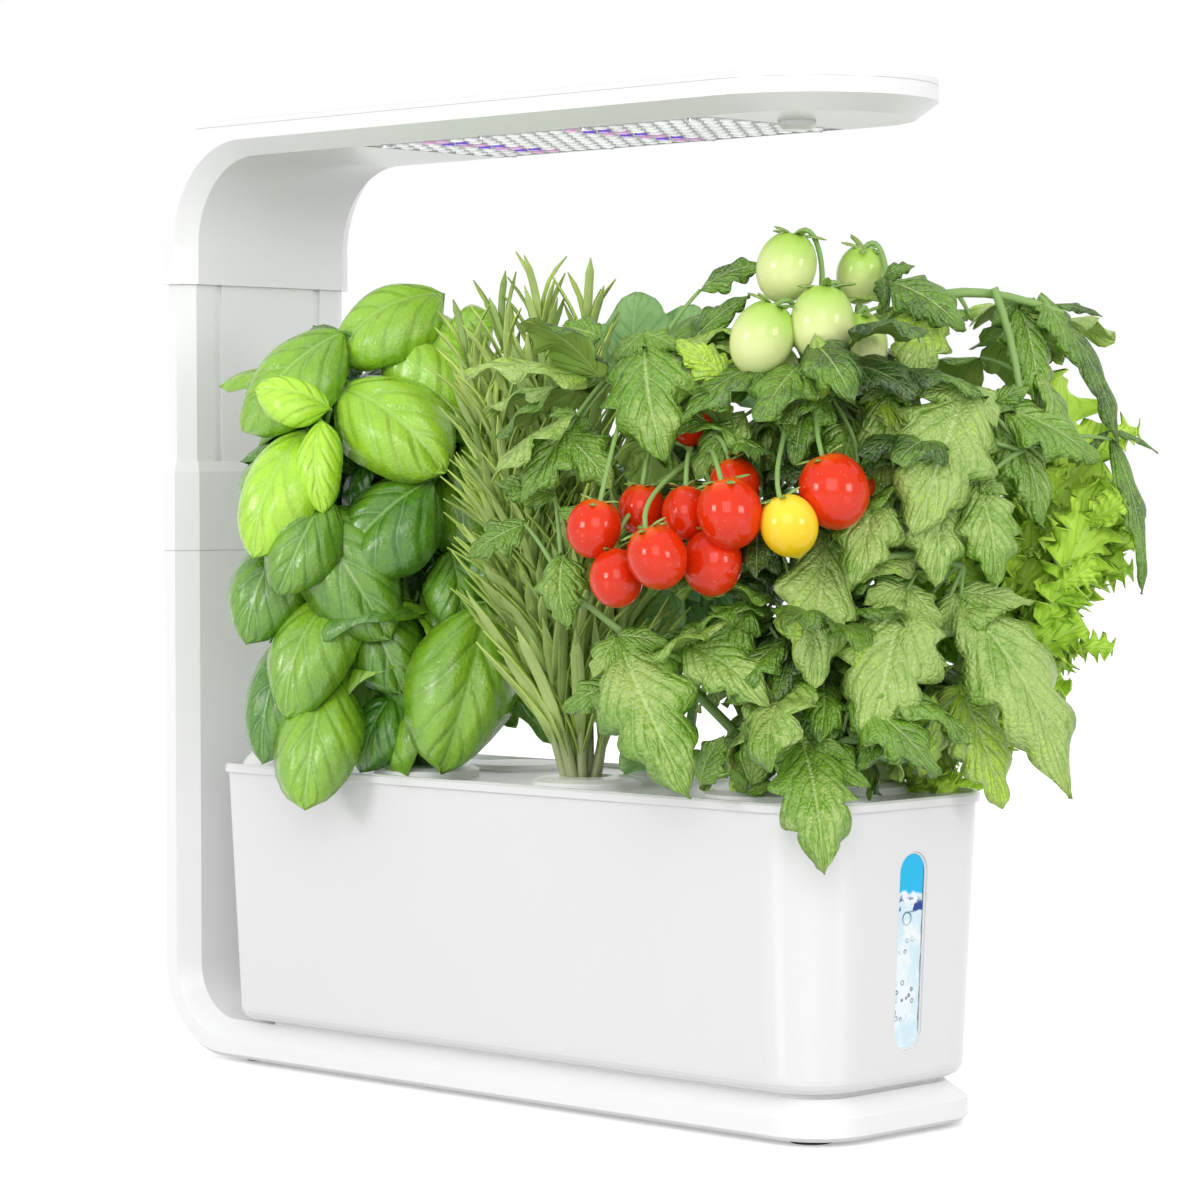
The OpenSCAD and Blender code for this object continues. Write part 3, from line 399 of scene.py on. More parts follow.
# Each finish with the nodes that get it.
finishes = [
    (moulded("whitePlastic", shellColour, 0.30, coat=0.10),
     "stand_shell base_bottom_plate mast_tube lamp_housing light_button pod_covers"),
    (moulded("whiteTank", (0.775, 0.775, 0.78), 0.22, coat=0.25), "water_tank"),
    (moulded("whiteDeck", (0.84, 0.845, 0.84), 0.35), "planting_deck fill_cap pod_baskets pod_plug"),
    (moulded("greyPlastic", (0.45, 0.46, 0.47), 0.45, bump=0.1), "pump_outlet_tube water_pump"),
    (moulded("paleSeal", (0.80, 0.82, 0.84), 0.5, bump=0.05), "window_seal"),
    (moulded("blackPlastic", (0.02, 0.02, 0.022), 0.4, bump=0.1),
     "dc_inlet button_switch pump_cover pump_impeller"),
    (moulded("rubber", (0.05, 0.05, 0.052), 0.8, grain=1400.0, bump=0.25), "rubber_feet brake_pads"),
    (turnedMetal("steel", (0.62, 0.62, 0.64), 0.3),
     "bottom_screws mast_stop_screw control_board_screws mast_screws led_board_screws fill_cap_hinge_pin "
     "pump_shaft"),
    (turnedMetal("aluminium", (0.78, 0.79, 0.8), 0.38), "heat_spreader"),
    (circuitBoard("greenBoard", (0.02, 0.16, 0.06), (0.03, 0.26, 0.10)), "control_board lamp_driver_board"),
    (circuitBoard("whiteBoard", (0.36, 0.37, 0.40), (0.52, 0.54, 0.58)), "led_board"),
    (lightSpot("whiteLight", (0.86, 0.86, 0.88), (1.0, 1.0, 1.0), 0.5), "white_leds"),
    (lightSpot("redLight", (0.75, 0.45, 0.72), (0.95, 0.50, 0.85), 0.45), "red_leds"),
    (lightSpot("blueLight", (0.16, 0.08, 0.50), (0.26, 0.12, 0.80), 0.6), "blue_leds"),
    (foam("growSponge", (0.10, 0.075, 0.05), 900.0), "grow_sponges"),
    (foam("filterFoam", (0.03, 0.03, 0.03), 1200.0), "pump_intake_sponge"),
    (waterWindow(), "window_lens"),
]
for name in seams:
    finishes.append((moulded(name + "Plastic", shellColour, 0.30, seamNode=name, coat=0.10), name))
finished = 0
for material, names in finishes:
    for name in names.split():
        slots = nodes[name].material_slots
        if not slots:
            nodes[name].data.materials.append(material)
        for slot in slots:
            slot.material = material
        finished += 1
print("finishes given to", finished, "nodes")

# Each outline gives the half width, as a share, from the stalk (0) to the tip (1).
leafKinds = {
    "basil": {
        "outline": [
            (0, 0.04), (0.04, 0.42), (0.12, 0.76), (0.26, 0.96), (0.42, 1.0), (0.60, 0.93), (0.76, 0.80),
            (0.88, 0.61), (0.95, 0.40), (1, 0.0)],
        "cup": -0.50, "puff": 0.22, "wave": 0.05, "waves": 1.5, "arch": 0.17},
    "tomato": {
        "outline": [
            (0, 0.05), (0.07, 0.50), (0.22, 0.95), (0.38, 1.0), (0.58, 0.78), (0.78, 0.48), (0.92, 0.22),
            (1, 0.0)],
        "cup": -0.26, "puff": 0.16, "wave": 0.17, "waves": 2.5, "arch": 0.10,
        "teeth": 0.36, "toothCount": 4.0, "round": 0.8},
    "frill": {
        "outline": [(0, 0.10), (0.15, 0.26), (0.40, 0.66), (0.70, 1.0), (0.88, 0.82), (1, 0.30)],
        "cup": 0.25, "puff": 0.05, "wave": 0.42, "waves": 6.5, "arch": 0.10,
        "teeth": 0.74, "toothCount": 11.5, "round": 1.7},
    "herb": {
        "outline": [
            (0, 0.06), (0.10, 0.48), (0.30, 0.92), (0.50, 1.0), (0.75, 0.82), (0.92, 0.44), (1, 0.10)],
        "cup": -0.12, "puff": 0.08, "wave": 0.12, "waves": 2.5, "arch": 0.12,
        "teeth": 0.07, "toothCount": 9.5, "round": 1.0},
    "needle": {
        "outline": [(0, 0.5), (0.2, 1.0), (0.8, 0.9), (1, 0.1)],
        "cup": -0.5, "puff": 0.0, "wave": 0.0, "waves": 0, "arch": 0.08},
}
fullTurn = 6.28  # rounded
templates = {}


def leafTemplate(rows, columns):
    # A flat sheet, rows along the leaf and columns across, with its own map for the veins.
    key = (rows, columns)
    if key not in templates:
        bm = bmesh.new()
        bmesh.ops.create_grid(bm, x_segments=columns, y_segments=rows, size=0.5)
        layer = bm.loops.layers.uv.new("leafMap")
        for face in bm.faces:
            for loop in face.loops:
                loop[layer].uv = (loop.vert.co.x + 0.5, loop.vert.co.y + 0.5)
        templates[key] = meshFrom(bm, "leafSheet")
    return templates[key]


def outlineAt(points, v):
    for (v0, w0), (v1, w1) in zip(points, points[1:]):
        if v <= v1:
            t = (v - v0) / (v1 - v0)
            t = t * t * (3 - 2 * t) if w0 == 0 or w1 == 0 else t
            return w0 + (w1 - w0) * t
    return points[-1][1]


# What all leaves share: sideways lean, the teeth's two flanks, the cup's power, how far the edges shift
# along the leaf, and where the twist is zero.
leafForm = {"lean": 0.12, "toothRise": 0.7, "toothFall": 0.3, "cupPower": 1.6, "shift": 0.05,
            "twistFrom": 0.4}


def addLeaf(bm, kind, start, tip, width, facing, rng, toneAndShade, rows, columns, bend=1.0, twist=0.0):
    shape, form = leafKinds[kind], leafForm
    start, tip = Vector(start), Vector(tip)
    along = tip - start
    length = along.length
    along.normalize()
    facing = Vector(facing)
    facing = (facing - along * facing.dot(along)).normalized()
    middle = (start + tip) * 0.5 + facing * length * shape["arch"] * 2 * bend
    first = len(bm.verts)
    bm.from_mesh(leafTemplate(rows, columns))
    bm.verts.ensure_lookup_table()
    half = width * 0.5
    phase = rng.uniform(0, fullTurn)
    lean = rng.uniform(-form["lean"], form["lean"])
    toothPhase = rng.random()
    for vert in bm.verts[first:]:
        s, v = vert.co.x * 2, vert.co.y + 0.5
        w = outlineAt(shape["outline"], v) * half
        side = 1 if s >= 0 else -1
        edge = abs(s)
        if "teeth" in shape:
            saw = (v * shape["toothCount"] + toothPhase * (0.5 + 0.5 * side)) % 1.0
            rising = saw < form["toothRise"]
            saw = saw / form["toothRise"] if rising else (1 - saw) / form["toothFall"]
            saw = math.sin(saw * math.pi * 0.5) ** shape["round"]
            depth = 0.4 + 0.6 * math.sin(math.pi * min(1, v * 1.1)) ** 0.5
            w *= 1 - shape["teeth"] * edge ** 2 * (1 - saw) * depth
        point = start * (1 - v) ** 2 + middle * 2 * v * (1 - v) + tip * v * v
        tangent = ((middle - start) * (1 - v) + (tip - middle) * v).normalized()
        across = tangent.cross(facing).normalized()
        normal = across.cross(tangent).normalized()
        angle = twist * (v - form["twistFrom"])
        across, normal = (across * math.cos(angle) + normal * math.sin(angle),
                          normal * math.cos(angle) - across * math.sin(angle))
        belly = math.sin(math.pi * v)
        lift = shape["cup"] * w * edge ** form["cupPower"]
        lift += shape["puff"] * half * (1 - (2 * edge - 1) ** 2) * belly ** 0.5
        ripple = math.sin(v * shape["waves"] * fullTurn + phase + side * 1.3)
        lift += shape["wave"] * half * edge ** 2 * ripple
        shift = length * form["shift"] * edge * belly
        vert.co = point + across * (s * w + lean * half * belly) + normal * lift + tangent * shift
        vert[bm.verts.layers.float["toneAndShade"]] = toneAndShade


def newLeaves():
    bm = bmesh.new()
    bm.loops.layers.uv.new("leafMap")
    bm.verts.layers.float.new("toneAndShade")
    return bm


def finishLeaves(bm, name, upper, under, thickness):
    # The sheets get a thin wall, with its own finish on the underside.
    mesh = meshFrom(bm, name, True)
    piece = addObject(name, mesh)
    mesh.materials.append(upper)
    mesh.materials.append(under)
    wall = piece.modifiers.new("wall", "SOLIDIFY")
    wall.thickness = thickness * mm
    wall.offset = -1.0
    wall.material_offset = 1
    wall.material_offset_rim = 0
    return settle(piece)


def settle(piece):
    # Modifiers and curves become the piece's own mesh.
    bpy.context.view_layer.update()
    shaped = piece.evaluated_get(bpy.context.evaluated_depsgraph_get())
    mesh = bpy.data.meshes.new_from_object(shaped)
    name, world = piece.name, piece.matrix_world.copy()
    bpy.data.objects.remove(piece)
    mesh.transform(world)
    mesh.name = name
    return addObject(name, mesh)


def tubes(name, runs, material):
    # Each run is a list of points in mm with a radius in mm at each.
    curve = bpy.data.curves.new(name, "CURVE")
    curve.dimensions = "3D"
    curve.bevel_depth = mm
    curve.bevel_resolution = 2
    curve.use_fill_caps = True
    curve.resolution_u = 4
    for run in runs:
        spline = curve.splines.new("NURBS")
        spline.points.add(len(run) - 1)
        for point, (x, y, z, radius) in zip(spline.points, run):
            point.co = (x * mm, y * mm, z * mm, 1.0)
            point.radius = radius
        spline.order_u = 3
        spline.use_endpoint_u = True
    curve.materials.append(material)
    return settle(addObject(name, curve))


def veinGroup():
    # Where the midrib and the side veins run, and how far the blade swells between them.
    group, start, end = newGroup("leafVeins", [("Count", 7.0), ("Slope", 0.35)], ["Vein", "Swell"])
    sheet = axes(addNode(group, "ShaderNodeUVMap", uv_map="leafMap").outputs["UV"])
    edge = product(calc("ABSOLUTE", calc("SUBTRACT", sheet["X"], 0.5)), 2.0)
    wander = uneven(place(group), 70.0, 2.0, 0.10)
    line = calc("SUBTRACT", sheet["Y"], product(edge, start.outputs["Slope"]))
    line = product(calc("ADD", line, wander), start.outputs["Count"])
    gap = calc("PINGPONG", line, 0.5)
    sideVein = product(rise(gap, 0.05, 0.01), rise(edge, 0.95, 0.35, 0.1, 0.8))
    feed(calc("MAXIMUM", sideVein, rise(edge, 0.05, 0.015)), end.inputs["Vein"])
    swell = product(rise(gap, 0.0, 0.30), rise(edge, 0.0, 0.15), rise(edge, 1.0, 0.45, 0.5, 1.0))
    feed(swell, end.inputs["Swell"])
    return group


leafVeins = veinGroup()


def leafFinish(name, dark, light, vein, rough, count, slope, swell, veinShow, mottle, coat=0.0, net=0.12,
               netShow=0.0, between=None, gloss=0.3):
    sockets = {"Coat Weight": coat, "Coat Roughness": 0.25, "Specular IOR Level": gloss}
    material, tree, shader = newMaterial(name, dark, rough, sockets)
    veins = useGroup(tree, leafVeins, {"Count": count, "Slope": slope}).outputs
    where = place(tree)
    patch = uneven(where, 45.0, 3.0, mottle * 1.6)
    small = uneven(where, 420.0, 3.0, mottle * 0.7)
    # Painted highlight and shade: the swells between the veins are lighter, the creases along the veins and
    # midrib darker.
    glow = product(calc("SUBTRACT", veins["Swell"], 0.6), 0.10)
    # Each leaf's value is partly its own tone and partly painted shade and light: leaves in shadow get low
    # values, lit leaves high ones.
    mix = calc("ADD", calc("ADD", sheetValue(tree, "toneAndShade"), patch), calc("ADD", small, glow), clamp=True)
    if between:
        # The ramp runs from dark leaves, a painted shade, through dull pale leaves, partly a painted sheen,
        # to bright yellow-green leaves, partly painted light shining through the blade.
        colour = blend(rise(mix, 0.0, 0.42), dark, between[0])
        colour = blend(rise(mix, 0.42, 0.64), colour, between[1])
        colour = blend(rise(mix, 0.72, 0.98), colour, light)
    else:
        colour = blend(mix, dark, light)
    cell = cells(where, 480.0, "DISTANCE_TO_EDGE")
    if netShow:
        # A pale net of fine veins, as on the wrinkled blades.
        colour = blend(product(rise(cell, 0.12, 0.02), netShow), colour, vein)
    paint(shader, blend(product(veins["Vein"], veinShow), colour, vein))
    height = calc("MULTIPLY_ADD", rise(cell, 0.0, 0.3), net, veins["Swell"])
    feed(rise(small, -0.1, 0.1, rough - 0.05, rough + 0.07), shader.inputs["Roughness"])
    addBump(shader, height, 0.5, swell * mm)
    return material


def stemFinish(name, low, high):
    material, tree, shader = newMaterial(name, high, 0.5)
    where = place(tree)
    ribs = speckle(stretched(where, (1.0, 1.0, 0.15)), 700.0, 3.0)
    level = calc("MULTIPLY_ADD", speckle(where, 60.0), 0.03, axes(where)["Z"])
    colour = blend(rise(level, 0.12, 0.17), low, high)
    paint(shader, blend(product(ribs, 0.35), colour, tuple(value * 0.6 for value in high)))
    addBump(shader, ribs, 0.4, 0.0004)
    return material


toCamera = Vector((0.70, -0.71, 0.05))
upward = Vector((0, 0, 1))
sideways = Vector((-toCamera.y, toCamera.x, 0.0)).normalized()
# How far scattered leaves may reach along Y, in mm, and which way the placed ones face.
leafRoom = (-98, 92)
facingShare = {"camera": 0.75, "up": 0.55, "out": 0.25}


def growLeaf(bm, row, rng, kind, axis, rows, columns, twist=0.25):
    # One row holds the start's and the tip's X, Y and Z and the width in mm, then the leaf's value for its
    # own tone and painted shade.
    start, tip = Vector(row[:3]) * mm, Vector(row[3:6]) * mm
    middle = (start + tip) * 0.5
    outward = Vector((middle.x - axis[0] * mm, middle.y - axis[1] * mm, 0.0))
    outward = outward.normalized() if outward.length > 1e-5 else toCamera
    facing = toCamera * facingShare["camera"] + upward * facingShare["up"]
    facing += outward * facingShare["out"]
    facing += Vector((rng.uniform(-0.2, 0.2), rng.uniform(-0.2, 0.2), rng.uniform(-0.1, 0.1)))
    addLeaf(bm, kind, start, tip, row[6] * mm, facing, rng, row[7], rows, columns, 1.0,
            rng.uniform(-twist, twist))


def fillLeaves(bm, rng, kind, shells, count, size, toneAndShadeRange, rows=8, columns=4, drop=0.5, keepOff=0.35,
               reach=(0.55, 0.80), thin=0.7, bounds=(-112, 400, 400)):
    # Leaves on the shells of the plant's bulk, each hanging outwards, and sparse towards the front.
    # The bounds in mm are the least and the most to the right as seen, and the highest base.
    bases = []
    weights = [radii[0] * radii[2] for middle, radii in shells]
    while len(bases) < count:
        middle, radii = rng.choices(shells, weights)[0]
        turn = rng.uniform(0, 2 * math.pi)
        high = rng.uniform(-0.92, 0.92)
        flat = math.sqrt(1 - high * high)
        outward = Vector((math.cos(turn) * flat, math.sin(turn) * flat, high))
        if outward.dot(toCamera) > keepOff and rng.random() < thin:
            continue
        depth = rng.uniform(*reach)
        base = Vector([m + o * r * depth for m, o, r in zip(middle, outward, radii)])
        length = rng.uniform(*size)
        end = base + outward * length * 0.85
        if not leafRoom[0] < end.y < leafRoom[1] or not bounds[0] < end.dot(sideways) < bounds[1]:
            continue
        if base.z > bounds[2]:
            continue
        run = Vector((outward.x, outward.y, outward.z * 0.6 - drop + rng.uniform(-0.3, 0.3))).normalized()
        run = (run + Vector((rng.uniform(-0.4, 0.4), rng.uniform(-0.4, 0.4), 0))).normalized()
        facing = Vector((outward.x, outward.y, outward.z + 0.6))
        width = length * rng.uniform(0.55, 0.75) * mm
        tip = (base + run * length) * mm
        addLeaf(bm, kind, base * mm, tip, width, facing, rng, rng.uniform(*toneAndShadeRange), rows, columns, 1.0,
                rng.uniform(-0.5, 0.5))
        bases.append(base)
    return bases


def reachStem(base, trunks):
    # The nearest place on the trunks, a little lower than the leaf's base.
    lower = Vector((base[0], base[1], base[2] - 12))
    best = None
    for trunk in trunks:
        for (x0, y0, z0, _), (x1, y1, z1, _) in zip(trunk, trunk[1:]):
            a, b = Vector((x0, y0, z0)), Vector((x1, y1, z1))
            run = b - a
            t = max(0.0, min(1.0, (lower - a).dot(run) / run.length_squared))
            point = a + run * t
            far = (point - Vector(base)).length
            if best is None or far < best[0]:
                best = (far, point)
    return best[1]


def petioles(bases, trunks, radius):
    runs = []
    for base in bases:
        base = Vector(base)
        foot = reachStem(base, trunks)
        middle = (foot + base) * 0.5 + Vector((0, 0, (foot - base).length * 0.12))
        runs.append([(*foot, radius * 1.2), (*middle, radius), (*base, radius * 0.75)])
    return runs


def dressPlant(pieces, replaced):
    for piece in pieces:
        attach(piece, "tank")
        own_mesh(piece)
    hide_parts(*replaced)


def placeLeaves(bm, rng, kind, plant, rows, columns):
    for row in plant["leaves"]:
        growLeaf(bm, row, rng, kind, plant["axis"], rows, columns)
    return [row[:3] for row in plant["leaves"]]


def growStems(name, plant, bases, radius, low, high, extra=()):
    runs = plant["trunks"] + petioles(bases, plant["trunks"], radius) + list(extra)
    return tubes(name + "Stems", runs, stemFinish(name + "Stem", low, high))


basil = {
    "seed": 11, "axis": (-46, -28),
    "outer": {"count": 95, "size": (30, 48), "toneAndShadeRange": (0.05, 0.55), "rows": 9, "columns": 6, "keepOff": 0.1,
              "reach": (0.5, 0.78), "thin": 1.0, "bounds": (-108, 400, 252)},
    # Inner leaves fill the bulk with the darkest values, a painted shade deep in the plant.
    "inner": {"count": 45, "size": (22, 34), "toneAndShadeRange": (0.0, 0.2), "drop": 0.4, "keepOff": -0.1,
              "reach": (0.1, 0.5), "thin": 1.0},
    "shells": [
        ((-56, -38, 205), (38, 42, 72)), ((-44, -28, 250), (33, 31, 38)), ((-26, -26, 156), (22, 20, 30))],
    "trunks": [
        [(-42, -23, 108, 2.6), (-44, -26, 150, 2.4), (-50, -32, 200, 2.0), (-52, -34, 262, 1.3)],
        [(-40, -24, 108, 2.2), (-32, -26, 140, 2.0), (-26, -24, 170, 1.5), (-24, -22, 190, 1.2)],
        [(-44, -24, 108, 2.2), (-56, -34, 145, 2.0), (-66, -46, 190, 1.6), (-68, -50, 225, 1.2)],
        [(-39, -21, 108, 2.0), (-42, -18, 160, 1.8), (-38, -14, 220, 1.4), (-44, -16, 255, 1.1)],
        [(-43, -22, 108, 1.5), (-50, -27, 125, 1.3), (-54, -31, 150, 1.1)],
        [(-40, -22, 108, 1.4), (-30, -20, 116, 1.2), (-20, -18, 130, 1.0)]],
    "leaves": [
        (-40, -16, 284, -66, -46, 260, 40, 0.55), (-60, -46, 270, -84, -74, 234, 38, 0.42),
        (-54, -26, 278, -24, -12, 238, 42, 0.66), (-58, -50, 250, -18, -36, 219, 40, 0.68),
        (-60, -54, 254, -74, -72, 240, 28, 0.98), (-52, -60, 242, -72, -78, 249, 24, 0.95),
        (-62, -62, 235, -69, -82, 189, 35, 0.85), (-53, -64, 238, -47, -68, 205, 18, 0.95),
        (-28, -32, 217, -50, -58, 184, 43, 0.14), (-45, -19, 224, -14, 3, 184, 40, 0.30),
        (-74, -56, 200, -80, -76, 158, 33, 0.20), (-64, -62, 208, -34, -48, 160, 38, 0.22),
        (-55, -47, 180, -61, -74, 132, 36, 0.38), (-58, -46, 178, -36, -40, 140, 32, 0.18),
        (-74, -54, 164, -77, -71, 115, 29, 0.16), (-60, -54, 148, -51, -74, 100, 33, 0.42),
        (-8, -26, 173, -17, -40, 113, 42, 0.40), (-46, -33, 142, -50, -48, 112, 25, 0.06),
        (-52, -32, 162, -34, -29, 130, 26, 0.12), (-74, -60, 228, -84, -72, 204, 26, 0.30),
        (-26, -14, 236, -12, -8, 206, 28, 0.35), (-52, -62, 212, -58, -80, 176, 28, 0.25),
        (-26, -26, 192, -18, -28, 162, 24, 0.20), (-34, -20, 268, -20, -10, 274, 26, 0.60),
        (-24, -14, 200, -10, -12, 170, 28, 0.20)],
}


def makeBasil():
    rng = random.Random(basil["seed"])
    bm = newLeaves()
    placed = placeLeaves(bm, rng, "basil", basil, 18, 10)
    upper = leafFinish("basilLeaf", (0.03, 0.16, 0.010), (0.48, 0.85, 0.04), (0.56, 0.84, 0.24), 0.26,
                       4.5, 0.45, 1.3, veinShow=0.32, mottle=0.30, coat=0.55, gloss=0.5)
    under = leafFinish("basilUnder", (0.14, 0.34, 0.06), (0.46, 0.74, 0.12), (0.55, 0.78, 0.25), 0.5, 4.5,
                       0.45, 0.8, veinShow=0.6, mottle=0.2)
    front = finishLeaves(bm, "basilLeaves", upper, under, 0.35)
    bm = newLeaves()
    bases = fillLeaves(bm, rng, "basil", basil["shells"], **basil["outer"])
    fillLeaves(bm, rng, "basil", basil["shells"], **basil["inner"])
    back = finishLeaves(bm, "basilBackLeaves", upper, under, 0.35)
    stems = growStems("basil", basil, bases + placed, 0.9, (0.20, 0.36, 0.09), (0.16, 0.34, 0.06))
    dressPlant([front, back, stems], ["basil_plant", "basil_crown"])


makeBasil()
print("basil grown")

rosemary = {
    "seed": 23, "footHeight": 107, "spacing": 2.7, "turn": 2.4, "needle": (26, 40), "needleWidth": 2.9,
    "rowsPerNeedle": 4, "low": {"share": 0.35, "longer": 1.25, "closer": 0.6, "wider": 1.5},
    "sprigs": [
        ((35, -26), (24, -44, 180), (10, -53, 262)), ((36, -25), (28, -38, 190), (18, -44, 272)),
        ((38, -26), (33, -34, 200), (28, -35, 277)), ((40, -23), (42, -26, 200), (40, -24, 272)),
        ((35, -27), (26, -44, 170), (18, -55, 232)), ((41, -24), (52, -20, 150), (54, -12, 205)),
        ((37, -24), (26, -34, 200), (12, -45, 250)), ((39, -25), (38, -32, 190), (24, -38, 254)),
        ((36, -22), (34, -20, 190), (34, -12, 250)), ((36, -22), (28, -20, 170), (20, -18, 250)),
        ((38, -27), (34, -46, 170), (27, -58, 240)), ((40, -26), (48, -36, 150), (50, -44, 200)),
        ((41, -22), (50, -14, 180), (48, -4, 240)), ((38, -25), (34, -34, 140), (27, -42, 182)),
        ((39, -27), (40, -44, 150), (38, -52, 210))],
}


def alongSprig(start, middle, tip, t):
    return start * (1 - t) ** 2 + middle * 2 * t * (1 - t) + tip * t * t


def makeRosemary():
    rng = random.Random(rosemary["seed"])
    low = rosemary["low"]
    bm = newLeaves()
    stems = []
    for foot, middle, tip in rosemary["sprigs"]:
        start = Vector((*foot, rosemary["footHeight"]))
        middle, tip = Vector(middle), Vector(tip)
        shares = (0, 0.2, 0.4, 0.6, 0.8, 1)
        stems.append([(*alongSprig(start, middle, tip, t), 1.9 - 1.3 * t) for t in shares])
        steps = int(((middle - start).length + (tip - middle).length) / rosemary["spacing"])
        turn = rng.uniform(0, fullTurn)
        for step in range(steps):
            t = 0.14 + 0.86 * step / steps
            base = alongSprig(start, middle, tip, t)
            run = alongSprig(start, middle, tip, min(1.0, t + 0.05)) - base
            run = run.normalized() if run.length > 1e-6 else (tip - middle).normalized()
            turn += rosemary["turn"] + rng.uniform(-0.3, 0.3)
            spread = run.orthogonal().normalized()
            spread.rotate(Matrix.Rotation(turn, 3, run))
            opening = 0.80 - 0.38 * t + rng.uniform(-0.12, 0.15)
            size = rng.uniform(*rosemary["needle"]) * (1.15 - 0.55 * t ** 3)
            wide = rosemary["needleWidth"]
            if t < low["share"]:
                size *= low["longer"]
                opening *= low["closer"]
                wide *= low["wider"]
            end = base + (run + spread * opening).normalized() * size
            wide *= rng.uniform(0.85, 1.15)
            # Each needle gets a random value, partly its own tone and partly painted light and shade for lit
            # and shaded needles; the low needles are paler.
            toneAndShade = min(1, max(0, rng.uniform(0.35, 0.95) + (0.15 if t < 0.3 else 0)))
            addLeaf(bm, "needle", base * mm, end * mm, wide * mm, (spread * -0.4 + run), rng, toneAndShade,
                    rosemary["rowsPerNeedle"], 2, rng.uniform(0.2, 1.6))
    upper = leafFinish("rosemaryNeedle", (0.05, 0.15, 0.015), (0.60, 0.78, 0.16), (0.62, 0.76, 0.28),
                       0.42, 1.0, 0.0, 0.5, veinShow=0.35, mottle=0.30)
    under = leafFinish("rosemaryUnder", (0.26, 0.42, 0.12), (0.56, 0.70, 0.24), (0.6, 0.7, 0.4), 0.6, 1.0,
                       0.0, 0.3, veinShow=0.3, mottle=0.2)
    needles = finishLeaves(bm, "rosemaryNeedles", upper, under, 0.45)
    wood = tubes("rosemaryStems", stems, stemFinish("rosemaryStem", (0.42, 0.44, 0.24), (0.22, 0.36, 0.12)))
    dressPlant([needles, wood], ["rosemary_plant", "rosemary_crown"])


makeRosemary()
print("rosemary grown")

herb = {
    "seed": 31, "axis": (38, 24),
    "outer": {"count": 60, "size": (26, 40), "toneAndShadeRange": (0.15, 0.6), "rows": 10, "columns": 6},
    "shells": [((36, 27, 214), (28, 22, 64))],
    "trunks": [
        [(39, 23, 108, 2.4), (38, 24, 160, 2.0), (34, 22, 220, 1.6), (33, 18, 262, 1.1)],
        [(40, 24, 108, 2.0), (48, 28, 160, 1.7), (50, 30, 230, 1.2)],
        [(38, 22, 108, 2.0), (28, 26, 160, 1.7), (22, 26, 220, 1.2)]],
    "leaves": [
        (32, 14, 252, 31, 12, 283, 30, 0.55), (38, 22, 250, 46, 26, 278, 28, 0.60),
        (28, 12, 246, 16, 4, 272, 26, 0.50), (40, 18, 240, 58, 24, 256, 28, 0.45),
        (34, 16, 230, 40, 4, 244, 26, 0.50), (34, 18, 112, 26, 8, 122, 22, 0.6),
        (24, 20, 200, 6, 14, 208, 26, 0.4), (30, 14, 128, 18, 2, 140, 22, 0.6)],
}
lettuce = {
    "seed": 47, "foot": (120, 23, 107), "forks": (0.35, 0.6, 0.8),
    "fronds": [
        (158, 56, 148, 193, 80, 200, 30, 0.62), (160, 58, 160, 182, 78, 236, 32, 0.75),
        (156, 54, 160, 166, 80, 252, 34, 0.80), (152, 54, 158, 142, 66, 246, 34, 0.80),
        (150, 50, 150, 130, 62, 226, 30, 0.62), (158, 50, 138, 188, 64, 168, 26, 0.65),
        (150, 46, 128, 172, 72, 150, 26, 0.70), (144, 40, 120, 158, 60, 130, 24, 0.80),
        (138, 36, 118, 148, 52, 106, 24, 0.85), (130, 32, 116, 138, 48, 102, 20, 0.85),
        (158, 60, 150, 178, 79, 190, 28, 0.60), (154, 60, 156, 160, 80, 220, 30, 0.65),
        (150, 58, 150, 138, 79, 205, 30, 0.60), (146, 56, 140, 120, 74, 180, 28, 0.50),
        (150, 56, 134, 158, 79, 160, 28, 0.55), (156, 52, 150, 192, 68, 214, 30, 0.72),
        (152, 50, 150, 176, 70, 222, 30, 0.75), (154, 48, 145, 184, 58, 188, 26, 0.68),
        (148, 46, 140, 160, 60, 190, 28, 0.60), (144, 44, 130, 124, 52, 160, 26, 0.55)],
}


def makeHerb():
    rng = random.Random(herb["seed"])
    bm = newLeaves()
    placed = placeLeaves(bm, rng, "herb", herb, 14, 8)
    bases = fillLeaves(bm, rng, "herb", herb["shells"], **herb["outer"])
    upper = leafFinish("herbLeaf", (0.11, 0.34, 0.08), (0.48, 0.76, 0.30), (0.62, 0.82, 0.46), 0.42, 6.0,
                       0.35, 0.9, veinShow=0.35, mottle=0.3)
    under = leafFinish("herbUnder", (0.14, 0.30, 0.12), (0.32, 0.50, 0.24), (0.42, 0.58, 0.34), 0.6, 7.0,
                       0.35, 0.6, veinShow=0.5, mottle=0.2)
    leaves = finishLeaves(bm, "herbLeaves", upper, under, 0.35)
    stems = growStems("herb", herb, bases + placed, 0.8, (0.22, 0.36, 0.12), (0.16, 0.34, 0.09))
    dressPlant([leaves, stems], ["leafy_herb", "leafy_herb_crown"])


